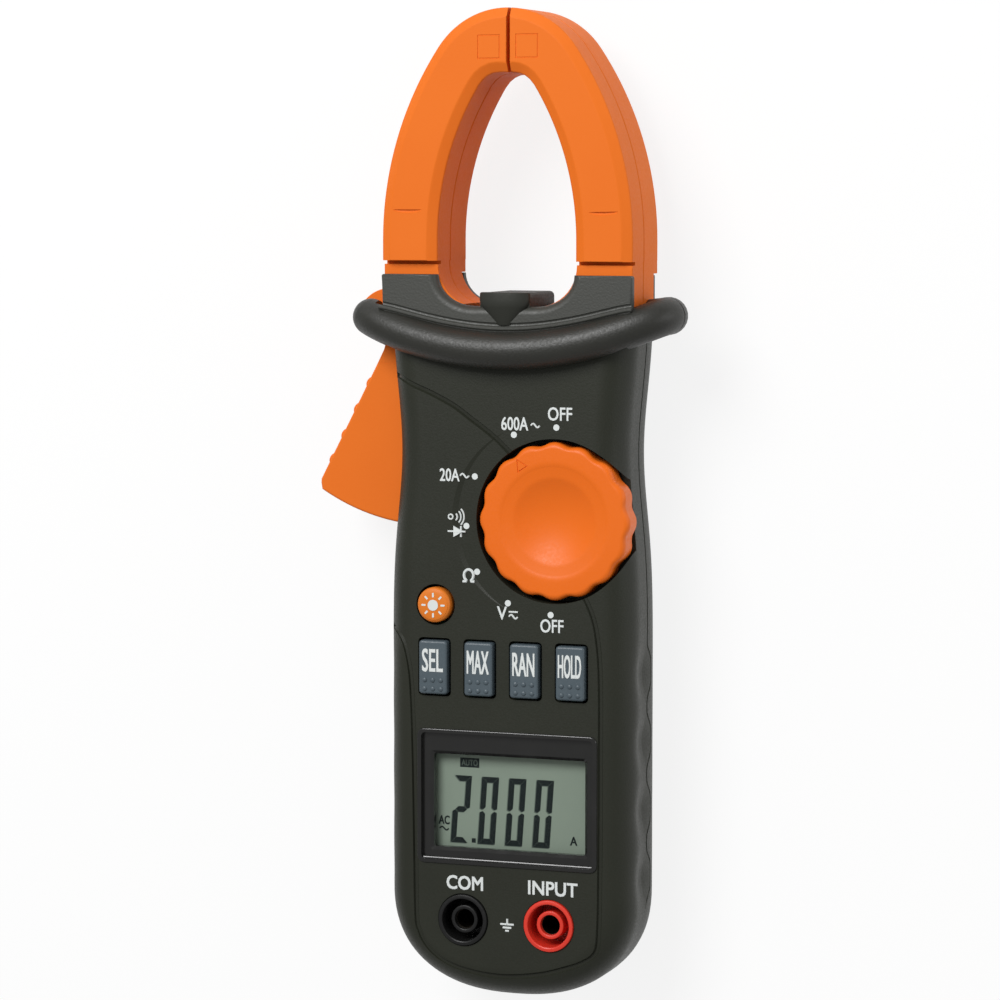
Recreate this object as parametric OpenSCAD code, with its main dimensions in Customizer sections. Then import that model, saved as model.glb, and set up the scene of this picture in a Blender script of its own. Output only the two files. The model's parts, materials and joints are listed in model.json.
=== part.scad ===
// Clamp meter, lying on its back: X to the right, Y towards the jaw tips, Z out of the front panel.
// The origin is on the flat back, on the centre plane, near the middle of the length.

/* [Case] */
// Width of the case at its lower half
body_w = 54.4; // [53:0.2:56]
// Thickness of the case from its back to the front panel
body_t = 29; // [28.5:0.1:29.5]
// Length of the rounded lower end
end_len = 22.7; // [22:0.1:23.5]
// Where the rounded lower end begins
end_y = -80; // [-81:0.5:-79]
// Height of the seam between the case halves
seam_z = 18; // [17.5:0.1:18.4]
// Wall of the moulded case halves
wall = 2; // [1.8:0.1:2.2]
// How far the waist draws in on each side
waist_in = 2.1; // [1:0.1:2.6]
// Rounding of the front edge
front_r = 6.5; // [5:0.5:7]
// Rounding of the back edge
back_r = 16; // [14:0.5:16.5]

/* [Jaws] */
// Half the width across the closed jaws
jaw_out = 27.4; // [27:0.1:27.5]
// Half the width of the jaw window
jaw_in = 15.15; // [14.8:0.05:15.4]
// Back face of the jaws
jaw_z0 = 10.6; // [10.4:0.1:10.8]
// Front face of the jaws
jaw_z1 = 30; // [29.8:0.1:30.2]
// Bevel along the jaw edges
jaw_bevel = 2; // [1:0.1:2.4]
// Gap between the closed jaw tips
jaw_gap = 1; // [0.6:0.1:1.2]
// Distance of the jaw pivot from the centre plane
pivot_x = 20; // [19.8:0.1:20.2]
// Height of the jaw pivot along the meter
pivot_y = 42; // [41.8:0.1:42.2]
// Radius of the pivot pin
pivot_r = 2.5; // [2:0.1:2.6]

/* [Guard] */
// Radius of the rounded hand guard
guard_r = 3.9; // [3.5:0.1:4.1]
// Half the width of the guard at the middle of its section
guard_half = 33; // [32.5:0.1:33.2]
// How far the guard bows up from its middle to its ends
guard_rise = 7.3; // [6:0.1:8]

/* [Selector] */
// Outer radius of the scalloped selector knob
knob_r = 16.3; // [15.8:0.1:16.5]
// Number of scallops round the knob
knob_scallops = 16; // [12:1:20]
// Knob centre to the right of the centre plane
knob_x = 10.5; // [10.2:0.1:10.8]
// Knob centre along the meter
knob_y = -1.8; // [-2.2:0.1:-1.4]

/* [Buttons] */
// Width of a rectangular button
key_w = 6.3; // [6:0.1:6.6]
// Height of a rectangular button
key_h = 11.3; // [10.8:0.1:11.6]
// Spacing of the rectangular buttons
key_pitch = 10.05; // [9.9:0.05:10.2]
// Radius of the round backlight button
lamp_key_r = 3.7; // [3.4:0.1:3.8]

/* [Display] */
// Width of the display bezel
bezel_w = 38.4; // [37:0.2:39]
// Height of the display bezel
bezel_h = 27.8; // [26.5:0.2:28.4]
// Width of the visible display
view_w = 33.6; // [32:0.2:34]
// Height of the visible display
view_h = 19.8; // [18:0.2:20]

/* [Sockets] */
// Spacing of the two test lead sockets
socket_pitch = 19.05; // [19:0.01:19.1]
// Bore radius of a socket contact
socket_bore_r = 2; // [1.9:0.05:2.1]

/* [Hidden] */

$fn = 48;
eps = 0.01;
far = 200;

// Colours of the moulded and metal pieces
case_grey = [0.25, 0.25, 0.22];
guard_grey = [0.2, 0.2, 0.18];
jaw_orange = [0.92, 0.44, 0.15];
key_blue = [0.25, 0.31, 0.36];
steel = [0.7, 0.7, 0.7];
copper = [0.72, 0.42, 0.25];
black_plastic = [0.06, 0.06, 0.06];
signal_red = [0.8, 0.16, 0.12];
board_green = [0.1, 0.32, 0.18];

// Case outline: straight sides with a drawn-in waist, and a lower end a little squarer than an ellipse
case_top = 38;
waist_y = 12;
waist_len = 18;
end_steps = 8;
side_steps = 9;
edge_steps = 5;
back_steps = 8;
end_square = 2.35;
back_slope_z = 12;
back_slope = 1.3;

// Head plates that hold the jaw roots
head_half = 27.7;
head_top = 49;
head_corner = 0.8;
plate_t = 1.8;
front_plate_z = 28.6;
rear_plate_z = 12.2;
front_plate_top = front_plate_z + plate_t;
rear_plate_top = rear_plate_z + plate_t;
throat_r = 8.5;
throat_y = 42.5;

// Jaw arcs: centres and radii of the pointed arch
arch_y = 56;
arch_out_r = 70;
arch_in_r = 60.15;
tip_y = 85.6;
tip_r = arch_out_r - norm([arch_out_r - jaw_out, tip_y - arch_y]);
tip_angle = atan2(tip_y - arch_y, arch_out_r - jaw_out);
under_y = 90.5;
split_x = 0.8;
jaw_base = 51.8;
jaw_seam = 21.25;
arc_steps = 14;
tip_steps = 7;
core_in = 3.2;
core_base = 51;
core_z0 = 16.8;
core_z1 = 25.7;
coil_in = 2;
coil_y0 = 55;
coil_y1 = 70;
coil_z0 = 15;
coil_z1 = 27.4;
loose = 0.1;
hub_r = 7.2;
root_in = 0.1;
root_lap = 0.5;
root_part = 0.02;
toe_x = 9.4;
toe_y = 38.6;
run_fit = 0.05;
pin_cover = 0.6;
plate_gap = 0.4;
neck_z0 = rear_plate_top + plate_gap;
neck_z1 = front_plate_z - plate_gap;
spring_room_r = 4.9;
spring_floor = jaw_seam + 0.5;
pivot = [-pivot_x, pivot_y];

// Trigger: the lever below the pivot, with finger ridges along its outer edge
trigger_z0 = 9;
trigger_z1 = 21;
trigger_top = 30;
trigger_arc_r = 46.4;
trigger_edge_top = [-30.4, 32.8];
trigger_edge_low = [-44.9, 5];
trigger_edge_end = [-44.7, 2.5];
trigger_in_low = [-25.6, -4.5];
trigger_in_top = [-19.5, 30];
ridge_r = 1.7;
ridge_share = [0.26, 0.46, 0.66, 0.85];
ridge_in = [1.1, -0.3];
shoulder = [-28.9, 38];
shoulder_r = 7.8;
shoulder_low = 39.4;
slot_z0 = trigger_z0 - 0.6;
slot_z1 = trigger_z1 + 0.5;
slot_y0 = -5.3;

// Guard: a rounded bar that bows round the front of the case
guard_y = 33.4;
guard_z = 22;
guard_depth = 9;
guard_root = 4.2;
guard_hook_root = 2.2;
guard_bow = 2;
guard_tuck = 0.3;
guard_square = 0.7;
guard_step = 8;
guard_steps = 20;
guard_left = -70;
guard_dome = 10;
guard_seam = 88;
guard_rear_end = 136;
guard_clear_x = -30.6;

// Selector: the knob sits in a round well, level with the panel
well_r = 17.1;
well_wall = 1.6;
well_floor = 23;
well_edge = 1.2;
knob_z0 = 23.6;
knob_z1 = 29.3;
dish_r = 12;
dish_depth = 2;
scallop_r = 4.4;
scallop_bite = 0.75;
shaft_r = 5;
shaft_top = 26.4;
shaft_gap = 0.5;
rotor_r = 11;
rotor_z0 = 19.2;
rotor_z1 = 20.9;
pointer_turn = 30;
pointer_r = 13.6;
pointer_size = 1.9;
pointer_depth = 0.4;

// Electronics
board_z0 = 16.4;
board_t = 1.6;
board_z1 = board_z0 + board_t;
board_half = 22;
board_top = 14;
board_step = -9;
board_left = -4.6;
board_low = -78;
tail_half = 12;
tail_low = -92;
panel_z = body_t - wall;

// Buttons and the switches under them
key_x0 = -0.9;
key_y = -33.2;
key_top = body_t + 1.2;
key_gap = 0.5;
key_flange = 1;
key_flange_z = 25.4;
key_flange_t = 0.9;
key_stem_z = 23.4;
key_stem_r = 1.6;
lamp_key = [-15.9, -19.8];
lamp_key_top = body_t + 1.6;
switch_size = 6;
switch_t = 3.4;
plunger_r = 1.7;
plunger_t = 0.8;
key_x = [for (i = [0:3]) key_x0 + (i - 1.5) * key_pitch];

// Display stack
bezel = [0.3, -60.3];
bezel_z0 = 26.4;
bezel_lip = 0.6;
lip_w = 1;
view = [0.3, -61.5];
window_z0 = 25.2;
window_t = 1.2;
window_in = 0.4;
lcd_t = 2;
lcd_margin = 2;
light_t = 1.4;
strip_w = 30;
strip_d = 1.8;

// Test lead sockets
socket_y = -86.5;
socket_r = 5.35;
socket_top = body_t + 0.5;
sleeve_r = 3.1;
sleeve_rise = 0.6;
groove_r = 4.35;
groove_z = 20;
contact_r = 2.7;
contact_z0 = 11;
contact_z1 = 27.6;
contact_floor = 12;
contact_flange_r = 4;
contact_flange_t = 0.6;

// Battery compartment in the back
bay_half = 12.4;
bay_y0 = -79.4;
bay_y1 = -33.4;
bay_wall = 1.3;
bay_top = 13.4;
door_half = 14.6;
door_y0 = -81.4;
door_y1 = -27.2;
door_z0 = 0.3;
door_gap = 0.2;
cell_r = 5.2;
cell_len = 43.6;
cell_x = 5.7;
cell_z = 7.6;
nub_r = 1.9;
nub_len = 0.9;
door_screw_y = -30;
door_screw_len = 8;
door_seat = 1;
cross_half = 0.35;
cross_arm = 1.6;
cross_depth = 0.6;

// Case screws: from the back into the front half
screws = [[0, 18.6], [-16.4, -92.4], [16.4, -92.4]];
screw_r = 1.2;
screw_head_r = 2.5;
screw_head_t = 1.8;
screw_seat = 9;
seat_t = 1.6;
screw_top = 24;
boss_r = 3.4;
front_boss_r = 2.8;
boss_bore_r = 1.4;
head_gap = 0.3;
drive_r = 0.9;
drive_depth = 1;

// Half the width of the case at a place along it
function half_w(y) = body_w / 2 - waist_in * exp(-pow((y - waist_y) / waist_len, 2));

// Right-hand half of the case outline, drawn in by d and ending at top
function side_line(d, top) = concat(
    [for (i = [0:end_steps]) let (a = 90 * i / end_steps)
        [(half_w(end_y) - d) * pow(sin(a), 2 / end_square),
            end_y - (end_len - d) * pow(cos(a), 2 / end_square)]],
    [for (j = [1:side_steps]) let (y = end_y + (top - end_y) * j / side_steps) [half_w(y) - d, y]]);

// Whole case outline as a closed ring at height z
function case_ring(d, z, top) = let (s = side_line(d, top))
    [for (p = concat(s, [for (i = [len(s) - 1:-1:1]) [-s[i].x, s[i].y]])) [p.x, p.y, z]];

// The back slopes up to the head: how far the outline reaches at height z
function back_top(z) = case_top - max(0, back_slope_z - z) * back_slope;

function front_arc(r, d, in_top) = [for (i = [0:edge_steps]) let (a = 90 * i / edge_steps)
    case_ring(d + r * (1 - cos(a)), body_t - front_r + r * sin(a), case_top - in_top)];
function back_arc(r, d, in_top) = [for (i = [0:back_steps])
    let (a = 90 * i / back_steps, z = back_r - r * cos(a))
    case_ring(d + r * (1 - sin(a)), z, back_top(z) - in_top)];
function reversed(list) = [for (i = [len(list) - 1:-1:0]) list[i]];

// Points on an arc, with the angle measured from the left-pointing direction towards +Y
function left_arc(c, r, a0, a1, n) = [for (i = [0:n]) let (a = a0 + (a1 - a0) * i / n)
    [c.x - r * cos(a), c.y + r * sin(a)]];

// Inner and outer edge of the left jaw, drawn in by d, from its base at y to its flat end at x
function jaw_inner(d, x, y) = let (r = arch_in_r + d)
    concat([[-jaw_in - d, y]],
        left_arc([arch_in_r - jaw_in, arch_y], r, 0, asin((under_y + d - arch_y) / r), arc_steps),
        [[x, under_y + d]]);
function jaw_outer(d, x, y) = let (
    r = tip_r - d,
    tip = left_arc([0, tip_y], r, tip_angle, acos(-x / r), tip_steps))
    concat([[-jaw_out + d, y]],
        left_arc([arch_out_r - jaw_out, arch_y], arch_out_r - d, 0, tip_angle, arc_steps - tip_steps + 1),
        [for (i = [1:tip_steps]) tip[i]]);
function jaw_line(d, x, y) = concat(jaw_inner(d, x, y), reversed(jaw_outer(d, x, y)));

// Middle of the guard's section, and the section itself, at an angle round the case
function guard_mid(u) = let (c = cos(u))
    [guard_half * sin(u), guard_y + guard_rise * (1 - (c > 0 ? 1 : guard_tuck) * pow(abs(c), guard_bow)),
        guard_z + guard_depth * (c > 0 ? pow(c, guard_square) : c)];
function guard_ring(u, swell = 1) = let (
    steep = u > guard_seam ? 1 : guard_square * pow(cos(u), guard_square - 1),
    root = u > guard_seam ? guard_hook_root : guard_root,
    n = [guard_depth * steep * sin(u), 0, guard_half * cos(u)],
    out = n / norm(n))
    [for (a = [0:30:330]) guard_mid(u) + swell * (out * cos(a) * (cos(a) > 0 ? guard_r : root)
        - [0, guard_r * sin(a), 0])];

// Closed solid through a list of rings with equal point counts, flat at both ends
module skin(rings) {
    n = len(rings[0]);
    m = len(rings);
    sides = [for (k = [0:m - 2], i = [0:n - 1]) let (j = (i + 1) % n)
        each [[k * n + i, (k + 1) * n + i, (k + 1) * n + j], [k * n + i, (k + 1) * n + j, k * n + j]]];
    polyhedron([for (r = rings) each r],
        concat(sides, [[for (i = [0:n - 1]) i]], [[for (i = [n:-1:1]) (m - 1) * n + i % n]]));
}

// Block between two opposite corners
module block(low, high) {
    translate(low) cube(high - low);
}

// Upright cylinder between two heights
module post(p, r, z0, z1) {
    translate([p.x, p.y, z0]) cylinder(r = r, h = z1 - z0);
}

// Window between the jaw roots: a slot with a rounded foot
module throat_2d(half) {
    translate([-half, throat_y + throat_r]) square([2 * half, far]);
    for (s = [-1, 1]) translate([s * (half - throat_r), throat_y + throat_r]) circle(throat_r);
    translate([throat_r - half, throat_y]) square([2 * (half - throat_r), throat_r + eps]);
}

// Flared foot of the jaw stop, seen from the front
module stop_face_2d() {
    stop_half = 5.5;
    stop_top = 45.4;
    stop_side = 43;
    stop_tail = 1.4;
    stop_low = 38.6;
    polygon([[-stop_half, stop_top], [-stop_half, stop_side], [-stop_tail, stop_low],
        [stop_tail, stop_low], [stop_half, stop_side], [stop_half, stop_top]]);
}

// Head plate with rounded upper corners; its lower edge follows the guard
module head_plate_2d() {
    edge_u = asin(head_half / guard_half);
    lower = [for (i = [-6:6]) let (m = guard_mid(edge_u * i / 6)) [m.x, m.y - 1]];
    difference() {
        union() {
            polygon(concat(lower, [for (s = [1, -1]) [s * head_half, head_top - head_corner]]));
            translate([-head_half + head_corner, head_top - head_corner - eps])
                square([2 * (head_half - head_corner), head_corner + eps]);
            for (s = [-1, 1])
                translate([s * (head_half - head_corner), head_top - head_corner]) circle(head_corner);
        }
        throat_2d(jaw_in);
    }
}

// Opening in the left side of the case that the trigger swings through
module trigger_slot() {
    toe_end = -toe_x + 0.6;
    block([-far, slot_y0, slot_z0], [-pivot_x, trigger_top + 0.6, slot_z1]);
    block([-far, trigger_top, rear_plate_top], [-pivot_x, case_top + 1, slot_z1]);
    block([-far, pivot_y - hub_r - 1, rear_plate_top], [toe_end, case_top + 1, front_plate_z]);
    block([-pivot_x - 1, trigger_top - 4, rear_plate_top], [toe_end, case_top, slot_z1]);
}

module front_case() color(case_grey) difference() {
    union() {
        skin(concat(reversed(front_arc(front_r - wall, wall, wall)),
            [case_ring(wall, seam_z, case_top - wall), case_ring(0, seam_z, case_top)],
            front_arc(front_r, 0, 0)));
        translate([0, 0, front_plate_z]) linear_extrude(plate_t)
            difference() {
                head_plate_2d();
                stop_face_2d();
            }
        intersection() {
            post([knob_x, knob_y], well_r + well_wall, well_floor - well_wall, body_t - 1);
            block([-far, -far, 0], [half_w(knob_y) - well_edge, far, far]);
        }
        for (p = screws) post(p, front_boss_r, seam_z, body_t - wall / 2);
    }
    post([knob_x, knob_y], well_r, well_floor, far);
    post([knob_x, knob_y], shaft_r + run_fit, seam_z, far);
    for (x = key_x)
        block([x - key_w / 2 - key_gap, key_y - key_h / 2 - key_gap, panel_z - 1],
            [x + key_w / 2 + key_gap, key_y + key_h / 2 + key_gap, far]);
    post(lamp_key, lamp_key_r + key_gap, panel_z - 1, far);
    block([bezel.x - bezel_w / 2, bezel.y - bezel_h / 2, panel_z - 1],
        [bezel.x + bezel_w / 2, bezel.y + bezel_h / 2, far]);
    for (s = [-1, 1]) post([s * socket_pitch / 2, socket_y], socket_r, seam_z, far);
    for (p = screws) post(p, screw_r + run_fit, seam_z - 1, screw_top + 1);
    post(pivot, pivot_r + run_fit, front_plate_z - 1, front_plate_top - pin_cover);
    trigger_slot();
}

module rear_case() color(case_grey) difference() {
    union() {
        skin(concat(back_arc(back_r, 0, 0),
            [case_ring(0, seam_z, case_top), case_ring(wall, seam_z, case_top - wall)],
            reversed(back_arc(back_r - wall, wall, wall))));
        translate([0, 0, rear_plate_z]) linear_extrude(plate_t) head_plate_2d();
        for (p = screws) post(p, boss_r, p.y > 0 ? wall / 2 : screw_seat - seat_t, seam_z);
        block([-door_half - bay_wall, door_y0 - bay_wall, wall / 2],
            [door_half + bay_wall, door_y1 + bay_wall, bay_top + bay_wall]);
    }
    block([-bay_half, bay_y0, -1], [bay_half, bay_y1, bay_top]);
    block([-door_half - door_gap, door_y0 - door_gap, -1],
        [door_half + door_gap, door_y1 + door_gap, wall]);
    post([0, door_screw_y], screw_r + run_fit, -1, door_screw_len + 1);
    for (p = screws) {
        post(p, screw_head_r + head_gap, -1, screw_seat);
        post(p, boss_bore_r, -1, far);
    }
    post(pivot, pivot_r + run_fit, rear_plate_z + pin_cover, far);
    trigger_slot();
}

module hand_guard() color(guard_grey) difference() {
    skin(concat(
        [for (a = [15:25:65]) guard_ring(guard_left - guard_dome * cos(a), sin(a))],
        [for (i = [0:guard_steps]) guard_ring(guard_left + (guard_seam - guard_left) * i / guard_steps)]));
    block([-head_half, 0, 0], [head_half, far, front_plate_top]);
    block([guard_clear_x, 0, 0], [0, far, front_plate_z]);
}

module hand_guard_rear() color(guard_grey) difference() {
    skin([for (u = [guard_seam:guard_step:guard_rear_end]) guard_ring(u)]);
    block([-head_half, 0, 0], [head_half, far, front_plate_top]);
}

// Stop that fills the foot of the jaw window between the two jaw roots
module jaw_stop() color(guard_grey) {
    stop_rise = 1.2;
    bar_half = 5.4;
    bar_top = 45.2;
    block([-bar_half, case_top, rear_plate_top], [bar_half, bar_top, front_plate_z]);
    translate([0, 0, front_plate_z]) linear_extrude(plate_t + stop_rise) stop_face_2d();
}

module battery_door() color(case_grey) difference() {
    block([-door_half, door_y0, door_z0], [door_half, door_y1, wall]);
    post([0, door_screw_y], screw_r + run_fit, -1, far);
    post([0, door_screw_y], screw_head_r, -1, door_seat);
}

module battery_door_screw() color(steel) {
    post([0, door_screw_y], screw_r, door_seat, door_screw_len);
    difference() {
        post([0, door_screw_y], screw_head_r - loose, door_z0, door_seat);
        for (h = [[cross_half, cross_arm], [cross_arm, cross_half]])
            block([-h.x, door_screw_y - h.y, 0], [h.x, door_screw_y + h.y, cross_depth]);
    }
}

module case_screws() color(steel) for (p = screws) {
    post(p, screw_r, screw_seat - eps, screw_top);
    difference() {
        post(p, screw_head_r, screw_seat - screw_head_t, screw_seat);
        post(p, drive_r, 0, screw_seat - screw_head_t + drive_depth);
    }
}

module display_bezel() color(black_plastic) difference() {
    union() {
        block([bezel.x - bezel_w / 2, bezel.y - bezel_h / 2, bezel_z0],
            [bezel.x + bezel_w / 2, bezel.y + bezel_h / 2, body_t - bezel_lip]);
        difference() {
            block([bezel.x - bezel_w / 2, bezel.y - bezel_h / 2, bezel_z0],
                [bezel.x + bezel_w / 2, bezel.y + bezel_h / 2, body_t + bezel_lip / 2]);
            block([bezel.x - bezel_w / 2 + lip_w, bezel.y - bezel_h / 2 + lip_w, 0],
                [bezel.x + bezel_w / 2 - lip_w, bezel.y + bezel_h / 2 - lip_w, far]);
        }
    }
    block([view.x - view_w / 2, view.y - view_h / 2, 0], [view.x + view_w / 2, view.y + view_h / 2, far]);
}

module display_window() color([0.8, 0.85, 0.85, 0.4])
    block([bezel.x - bezel_w / 2 + window_in, bezel.y - bezel_h / 2 + window_in, window_z0],
        [bezel.x + bezel_w / 2 - window_in, bezel.y + bezel_h / 2 - window_in, window_z0 + window_t]);

module lcd_panel() color([0.55, 0.6, 0.55])
    block([view.x - view_w / 2 - lcd_margin / 2, view.y - view_h / 2 - lcd_margin, window_z0 - lcd_t],
        [view.x + view_w / 2 + lcd_margin / 2, view.y + view_h / 2 + lcd_margin, window_z0]);

module lcd_backlight() color([0.85, 0.88, 0.85])
    block([view.x - view_w / 2, view.y - view_h / 2, window_z0 - lcd_t - light_t],
        [view.x + view_w / 2, view.y + view_h / 2, window_z0 - lcd_t]);

// Rubber strips that join the display glass to the board
module lcd_connectors() color([0.75, 0.72, 0.68])
    for (s = [-1, 1]) let (y = view.y + s * (view_h + lcd_margin) / 2)
        block([view.x - strip_w / 2, y - strip_d / 2, board_z1],
            [view.x + strip_w / 2, y + strip_d / 2, window_z0 - lcd_t]);

module main_board() color(board_green) difference() {
    translate([0, 0, board_z0]) linear_extrude(board_t)
        polygon([[-tail_half, tail_low], [tail_half, tail_low], [tail_half, board_low],
            [board_half, board_low], [board_half, board_top], [board_left, board_top],
            [board_left, board_step], [-board_half, board_step], [-board_half, board_low],
            [-tail_half, board_low]]);
    post([knob_x, knob_y], shaft_r + shaft_gap, 0, far);
    for (s = [-1, 1]) post([s * socket_pitch / 2, socket_y], contact_r + run_fit, 0, far);
}

module main_chip() color(black_plastic) {
    chip_half = 6;
    chip_y = -60;
    chip_t = 1.4;
    block([-chip_half, chip_y - chip_half, board_z1],
        [chip_half, chip_y + chip_half, board_z1 + chip_t]);
}

// Moulded socket: an outer collar, a groove for the plug's shroud and an inner sleeve
module socket_shroud(x) difference() {
    post([x, socket_y], socket_r, board_z1, socket_top);
    difference() {
        post([x, socket_y], groove_r, groove_z, far);
        post([x, socket_y], sleeve_r, 0, far);
    }
    post([x, socket_y], contact_r, 0, far);
    post([x, socket_y], sleeve_r + eps, contact_z1 + sleeve_rise, far);
}

module com_socket() color(black_plastic) socket_shroud(-socket_pitch / 2);

module input_socket() color(signal_red) socket_shroud(socket_pitch / 2);

// Plated contact tube soldered through the board
module socket_contact(x) difference() {
    union() {
        post([x, socket_y], contact_r, contact_z0, contact_z1);
        post([x, socket_y], contact_flange_r, board_z0 - contact_flange_t, board_z0);
    }
    post([x, socket_y], socket_bore_r, contact_floor, far);
}

module com_contact() color(steel) socket_contact(-socket_pitch / 2);

module input_contact() color(steel) socket_contact(socket_pitch / 2);

module tactile_switches() color(black_plastic)
    for (p = concat([for (x = key_x) [x, key_y]], [lamp_key])) {
        translate([p.x - switch_size / 2, p.y - switch_size / 2, board_z1])
            cube([switch_size, switch_size, switch_t]);
        post(p, plunger_r, board_z1 + switch_t - eps, board_z1 + switch_t + plunger_t);
    }

module buzzer() color(black_plastic) {
    buzzer_at = [13, -17];
    buzzer_r = 6.5;
    buzzer_t = 3.4;
    vent_r = 1.2;
    vent_depth = 1.4;
    difference() {
        post(buzzer_at, buzzer_r, board_z0 - buzzer_t, board_z0);
        post(buzzer_at, vent_r, 0, board_z0 - buzzer_t + vent_depth);
    }
}

// One cell along the length of the meter, its nub at the end that s points to
module cell(x, s) translate([x, (bay_y0 + bay_y1) / 2, cell_z]) rotate([-90 * s, 0, 0]) {
    translate([0, 0, -cell_len / 2]) cylinder(r = cell_r, h = cell_len - nub_len);
    translate([0, 0, cell_len / 2 - nub_len - eps]) cylinder(r = nub_r, h = nub_len + eps);
}

module battery_left() color([0.15, 0.15, 0.15]) cell(-cell_x, 1);

module battery_right() color([0.15, 0.15, 0.15]) cell(cell_x, -1);

module battery_contacts() color(steel) {
    leaf_t = 0.4;
    leaf_half = 4.4;
    spring_r = [1.5, 3];
    cell_mid = (bay_y0 + bay_y1) / 2;
    for (s = [-1, 1], x = [-cell_x, cell_x]) {
        translate([x - leaf_half, s > 0 ? bay_y1 - leaf_t : bay_y0, cell_z - leaf_half])
            cube([2 * leaf_half, leaf_t, 2 * leaf_half]);
        gap = bay_y1 - leaf_t - cell_mid - cell_len / 2;
        translate([x, cell_mid + s * cell_len / 2, cell_z]) rotate([-90 * s, 0, 0])
            cylinder(r1 = spring_r[0], r2 = spring_r[1], h = gap);
    }
}

// Half of a jaw between two heights, bevelled towards its outer face
module jaw_half(x, z_seam, z_face) {
    s = sign(z_face - z_seam);
    z_edge = z_face - s * jaw_bevel;
    side_in = jaw_inner(0, x, jaw_base);
    side_out = jaw_outer(0, x, jaw_base);
    face_in = jaw_inner(jaw_bevel, x, jaw_base);
    face_out = jaw_outer(jaw_bevel, x, jaw_base);
    rings = [for (k = [0:len(side_in) - 1]) [
        [side_out[k].x, side_out[k].y, z_seam], [side_out[k].x, side_out[k].y, z_edge],
        [face_out[k].x, face_out[k].y, z_face], [face_in[k].x, face_in[k].y, z_face],
        [side_in[k].x, side_in[k].y, z_edge], [side_in[k].x, side_in[k].y, z_seam]]];
    skin(s > 0 ? rings : [for (r = rings) reversed(r)]);
}

// Hollow inside a jaw for its core, with room for the winding round it
module jaw_hollow(x) {
    translate([0, 0, core_z0 - loose]) linear_extrude(core_z1 - core_z0 + 2 * loose)
        polygon(jaw_line(core_in - loose, x - 1, core_base));
    winding_room(x, loose);
}

module winding_room(x, extra) intersection() {
    translate([0, 0, coil_z0 - extra]) linear_extrude(coil_z1 - coil_z0 + 2 * extra)
        polygon(jaw_line(coil_in - extra, x - 1, core_base));
    block([-far, coil_y0 - extra, 0], [0, coil_y1 + extra, far]);
}

module jaw_core(x) translate([0, 0, core_z0]) linear_extrude(core_z1 - core_z0)
    polygon(jaw_line(core_in, x - 1, core_base));

module jaw_coil(x) difference() {
    winding_room(x, 0);
    translate([0, 0, core_z0 - loose]) linear_extrude(core_z1 - core_z0 + 2 * loose)
        polygon(jaw_line(core_in - loose, x - 1, core_base - 1));
}

// Root of a jaw between the head plates, seen from the front
module fixed_root_2d() difference() {
    translate([toe_x - 1, case_top])
        square([jaw_out - root_in - toe_x + 1, jaw_base - case_top + root_lap]);
    throat_2d(jaw_in + root_in);
}

module moving_root_2d() difference() {
    union() {
        translate([root_in - jaw_out, pivot_y])
            square([jaw_out - root_in - toe_x, jaw_base - pivot_y + root_lap]);
        translate(pivot) circle(hub_r);
        translate([-pivot_x, toe_y]) square([pivot_x - toe_x, throat_r]);
    }
    throat_2d(jaw_in + root_in);
}

// Trigger lever, seen from the front: it hangs from the pivot and ends in an arc
module trigger_2d() {
    intersection() {
        translate(pivot) circle(trigger_arc_r, $fn = 96);
        polygon([trigger_edge_top, trigger_edge_low, trigger_edge_end, trigger_in_low + [0, -6],
            trigger_in_low, trigger_in_top]);
    }
    for (t = ridge_share)
        translate(trigger_edge_top + t * (trigger_edge_low - trigger_edge_top) + ridge_in)
            circle(ridge_r);
}

module lever_2d() {
    trigger_2d();
    polygon([trigger_edge_top, trigger_in_top, pivot + [hub_r * 0.6, -hub_r * 0.8], pivot, shoulder]);
    difference() {
        translate(shoulder) circle(shoulder_r);
        translate([-far, shoulder_low - far]) square([far + shoulder.x, far]);
    }
}

module fixed_jaw_front() color(jaw_orange) difference() {
    union() {
        mirror([1, 0, 0]) jaw_half(-split_x - jaw_gap / 2, jaw_seam, jaw_z1);
        translate([0, 0, jaw_seam + root_part])
            linear_extrude(front_plate_z - jaw_seam - root_part) fixed_root_2d();
    }
    mirror([1, 0, 0]) jaw_hollow(-split_x - jaw_gap / 2);
}

module fixed_jaw_rear() color(jaw_orange) difference() {
    union() {
        mirror([1, 0, 0]) jaw_half(-split_x - jaw_gap / 2, jaw_seam, jaw_z0);
        translate([0, 0, rear_plate_top])
            linear_extrude(jaw_seam - rear_plate_top - root_part) fixed_root_2d();
    }
    mirror([1, 0, 0]) jaw_hollow(-split_x - jaw_gap / 2);
}

module fixed_core() color(steel) mirror([1, 0, 0]) jaw_core(-split_x - jaw_gap / 2);

module fixed_coil() color(copper) mirror([1, 0, 0]) jaw_coil(-split_x - jaw_gap / 2);

module pivot_pin() color(steel)
    post(pivot, pivot_r, rear_plate_z + pin_cover + loose, front_plate_top - pin_cover - loose);

// Torsion spring in the pocket of the hub, wound round the pivot pin
module jaw_spring() color(steel) {
    coil_r = 4;
    wire_r = 0.4;
    turns = 4;
    steps = 10;
    low = spring_floor + 0.7;
    rise = 4.6;
    skin([for (i = [0:turns * steps]) let (a = 360 * i / steps, z = low + rise * i / (turns * steps))
        [for (b = [0:60:300]) let (r = coil_r + wire_r * cos(b))
            [pivot.x + r * cos(a), pivot.y + r * sin(a), z + wire_r * sin(b)]]]);
}

module moving_jaw_front() color(jaw_orange) difference() {
    union() {
        jaw_half(split_x - jaw_gap / 2, jaw_seam, jaw_z1);
        translate([0, 0, jaw_seam + root_part])
            linear_extrude(neck_z1 - jaw_seam - root_part) moving_root_2d();
    }
    jaw_hollow(split_x - jaw_gap / 2);
    post(pivot, pivot_r + run_fit, 0, far);
    post(pivot, spring_room_r, spring_floor, far);
}

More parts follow.
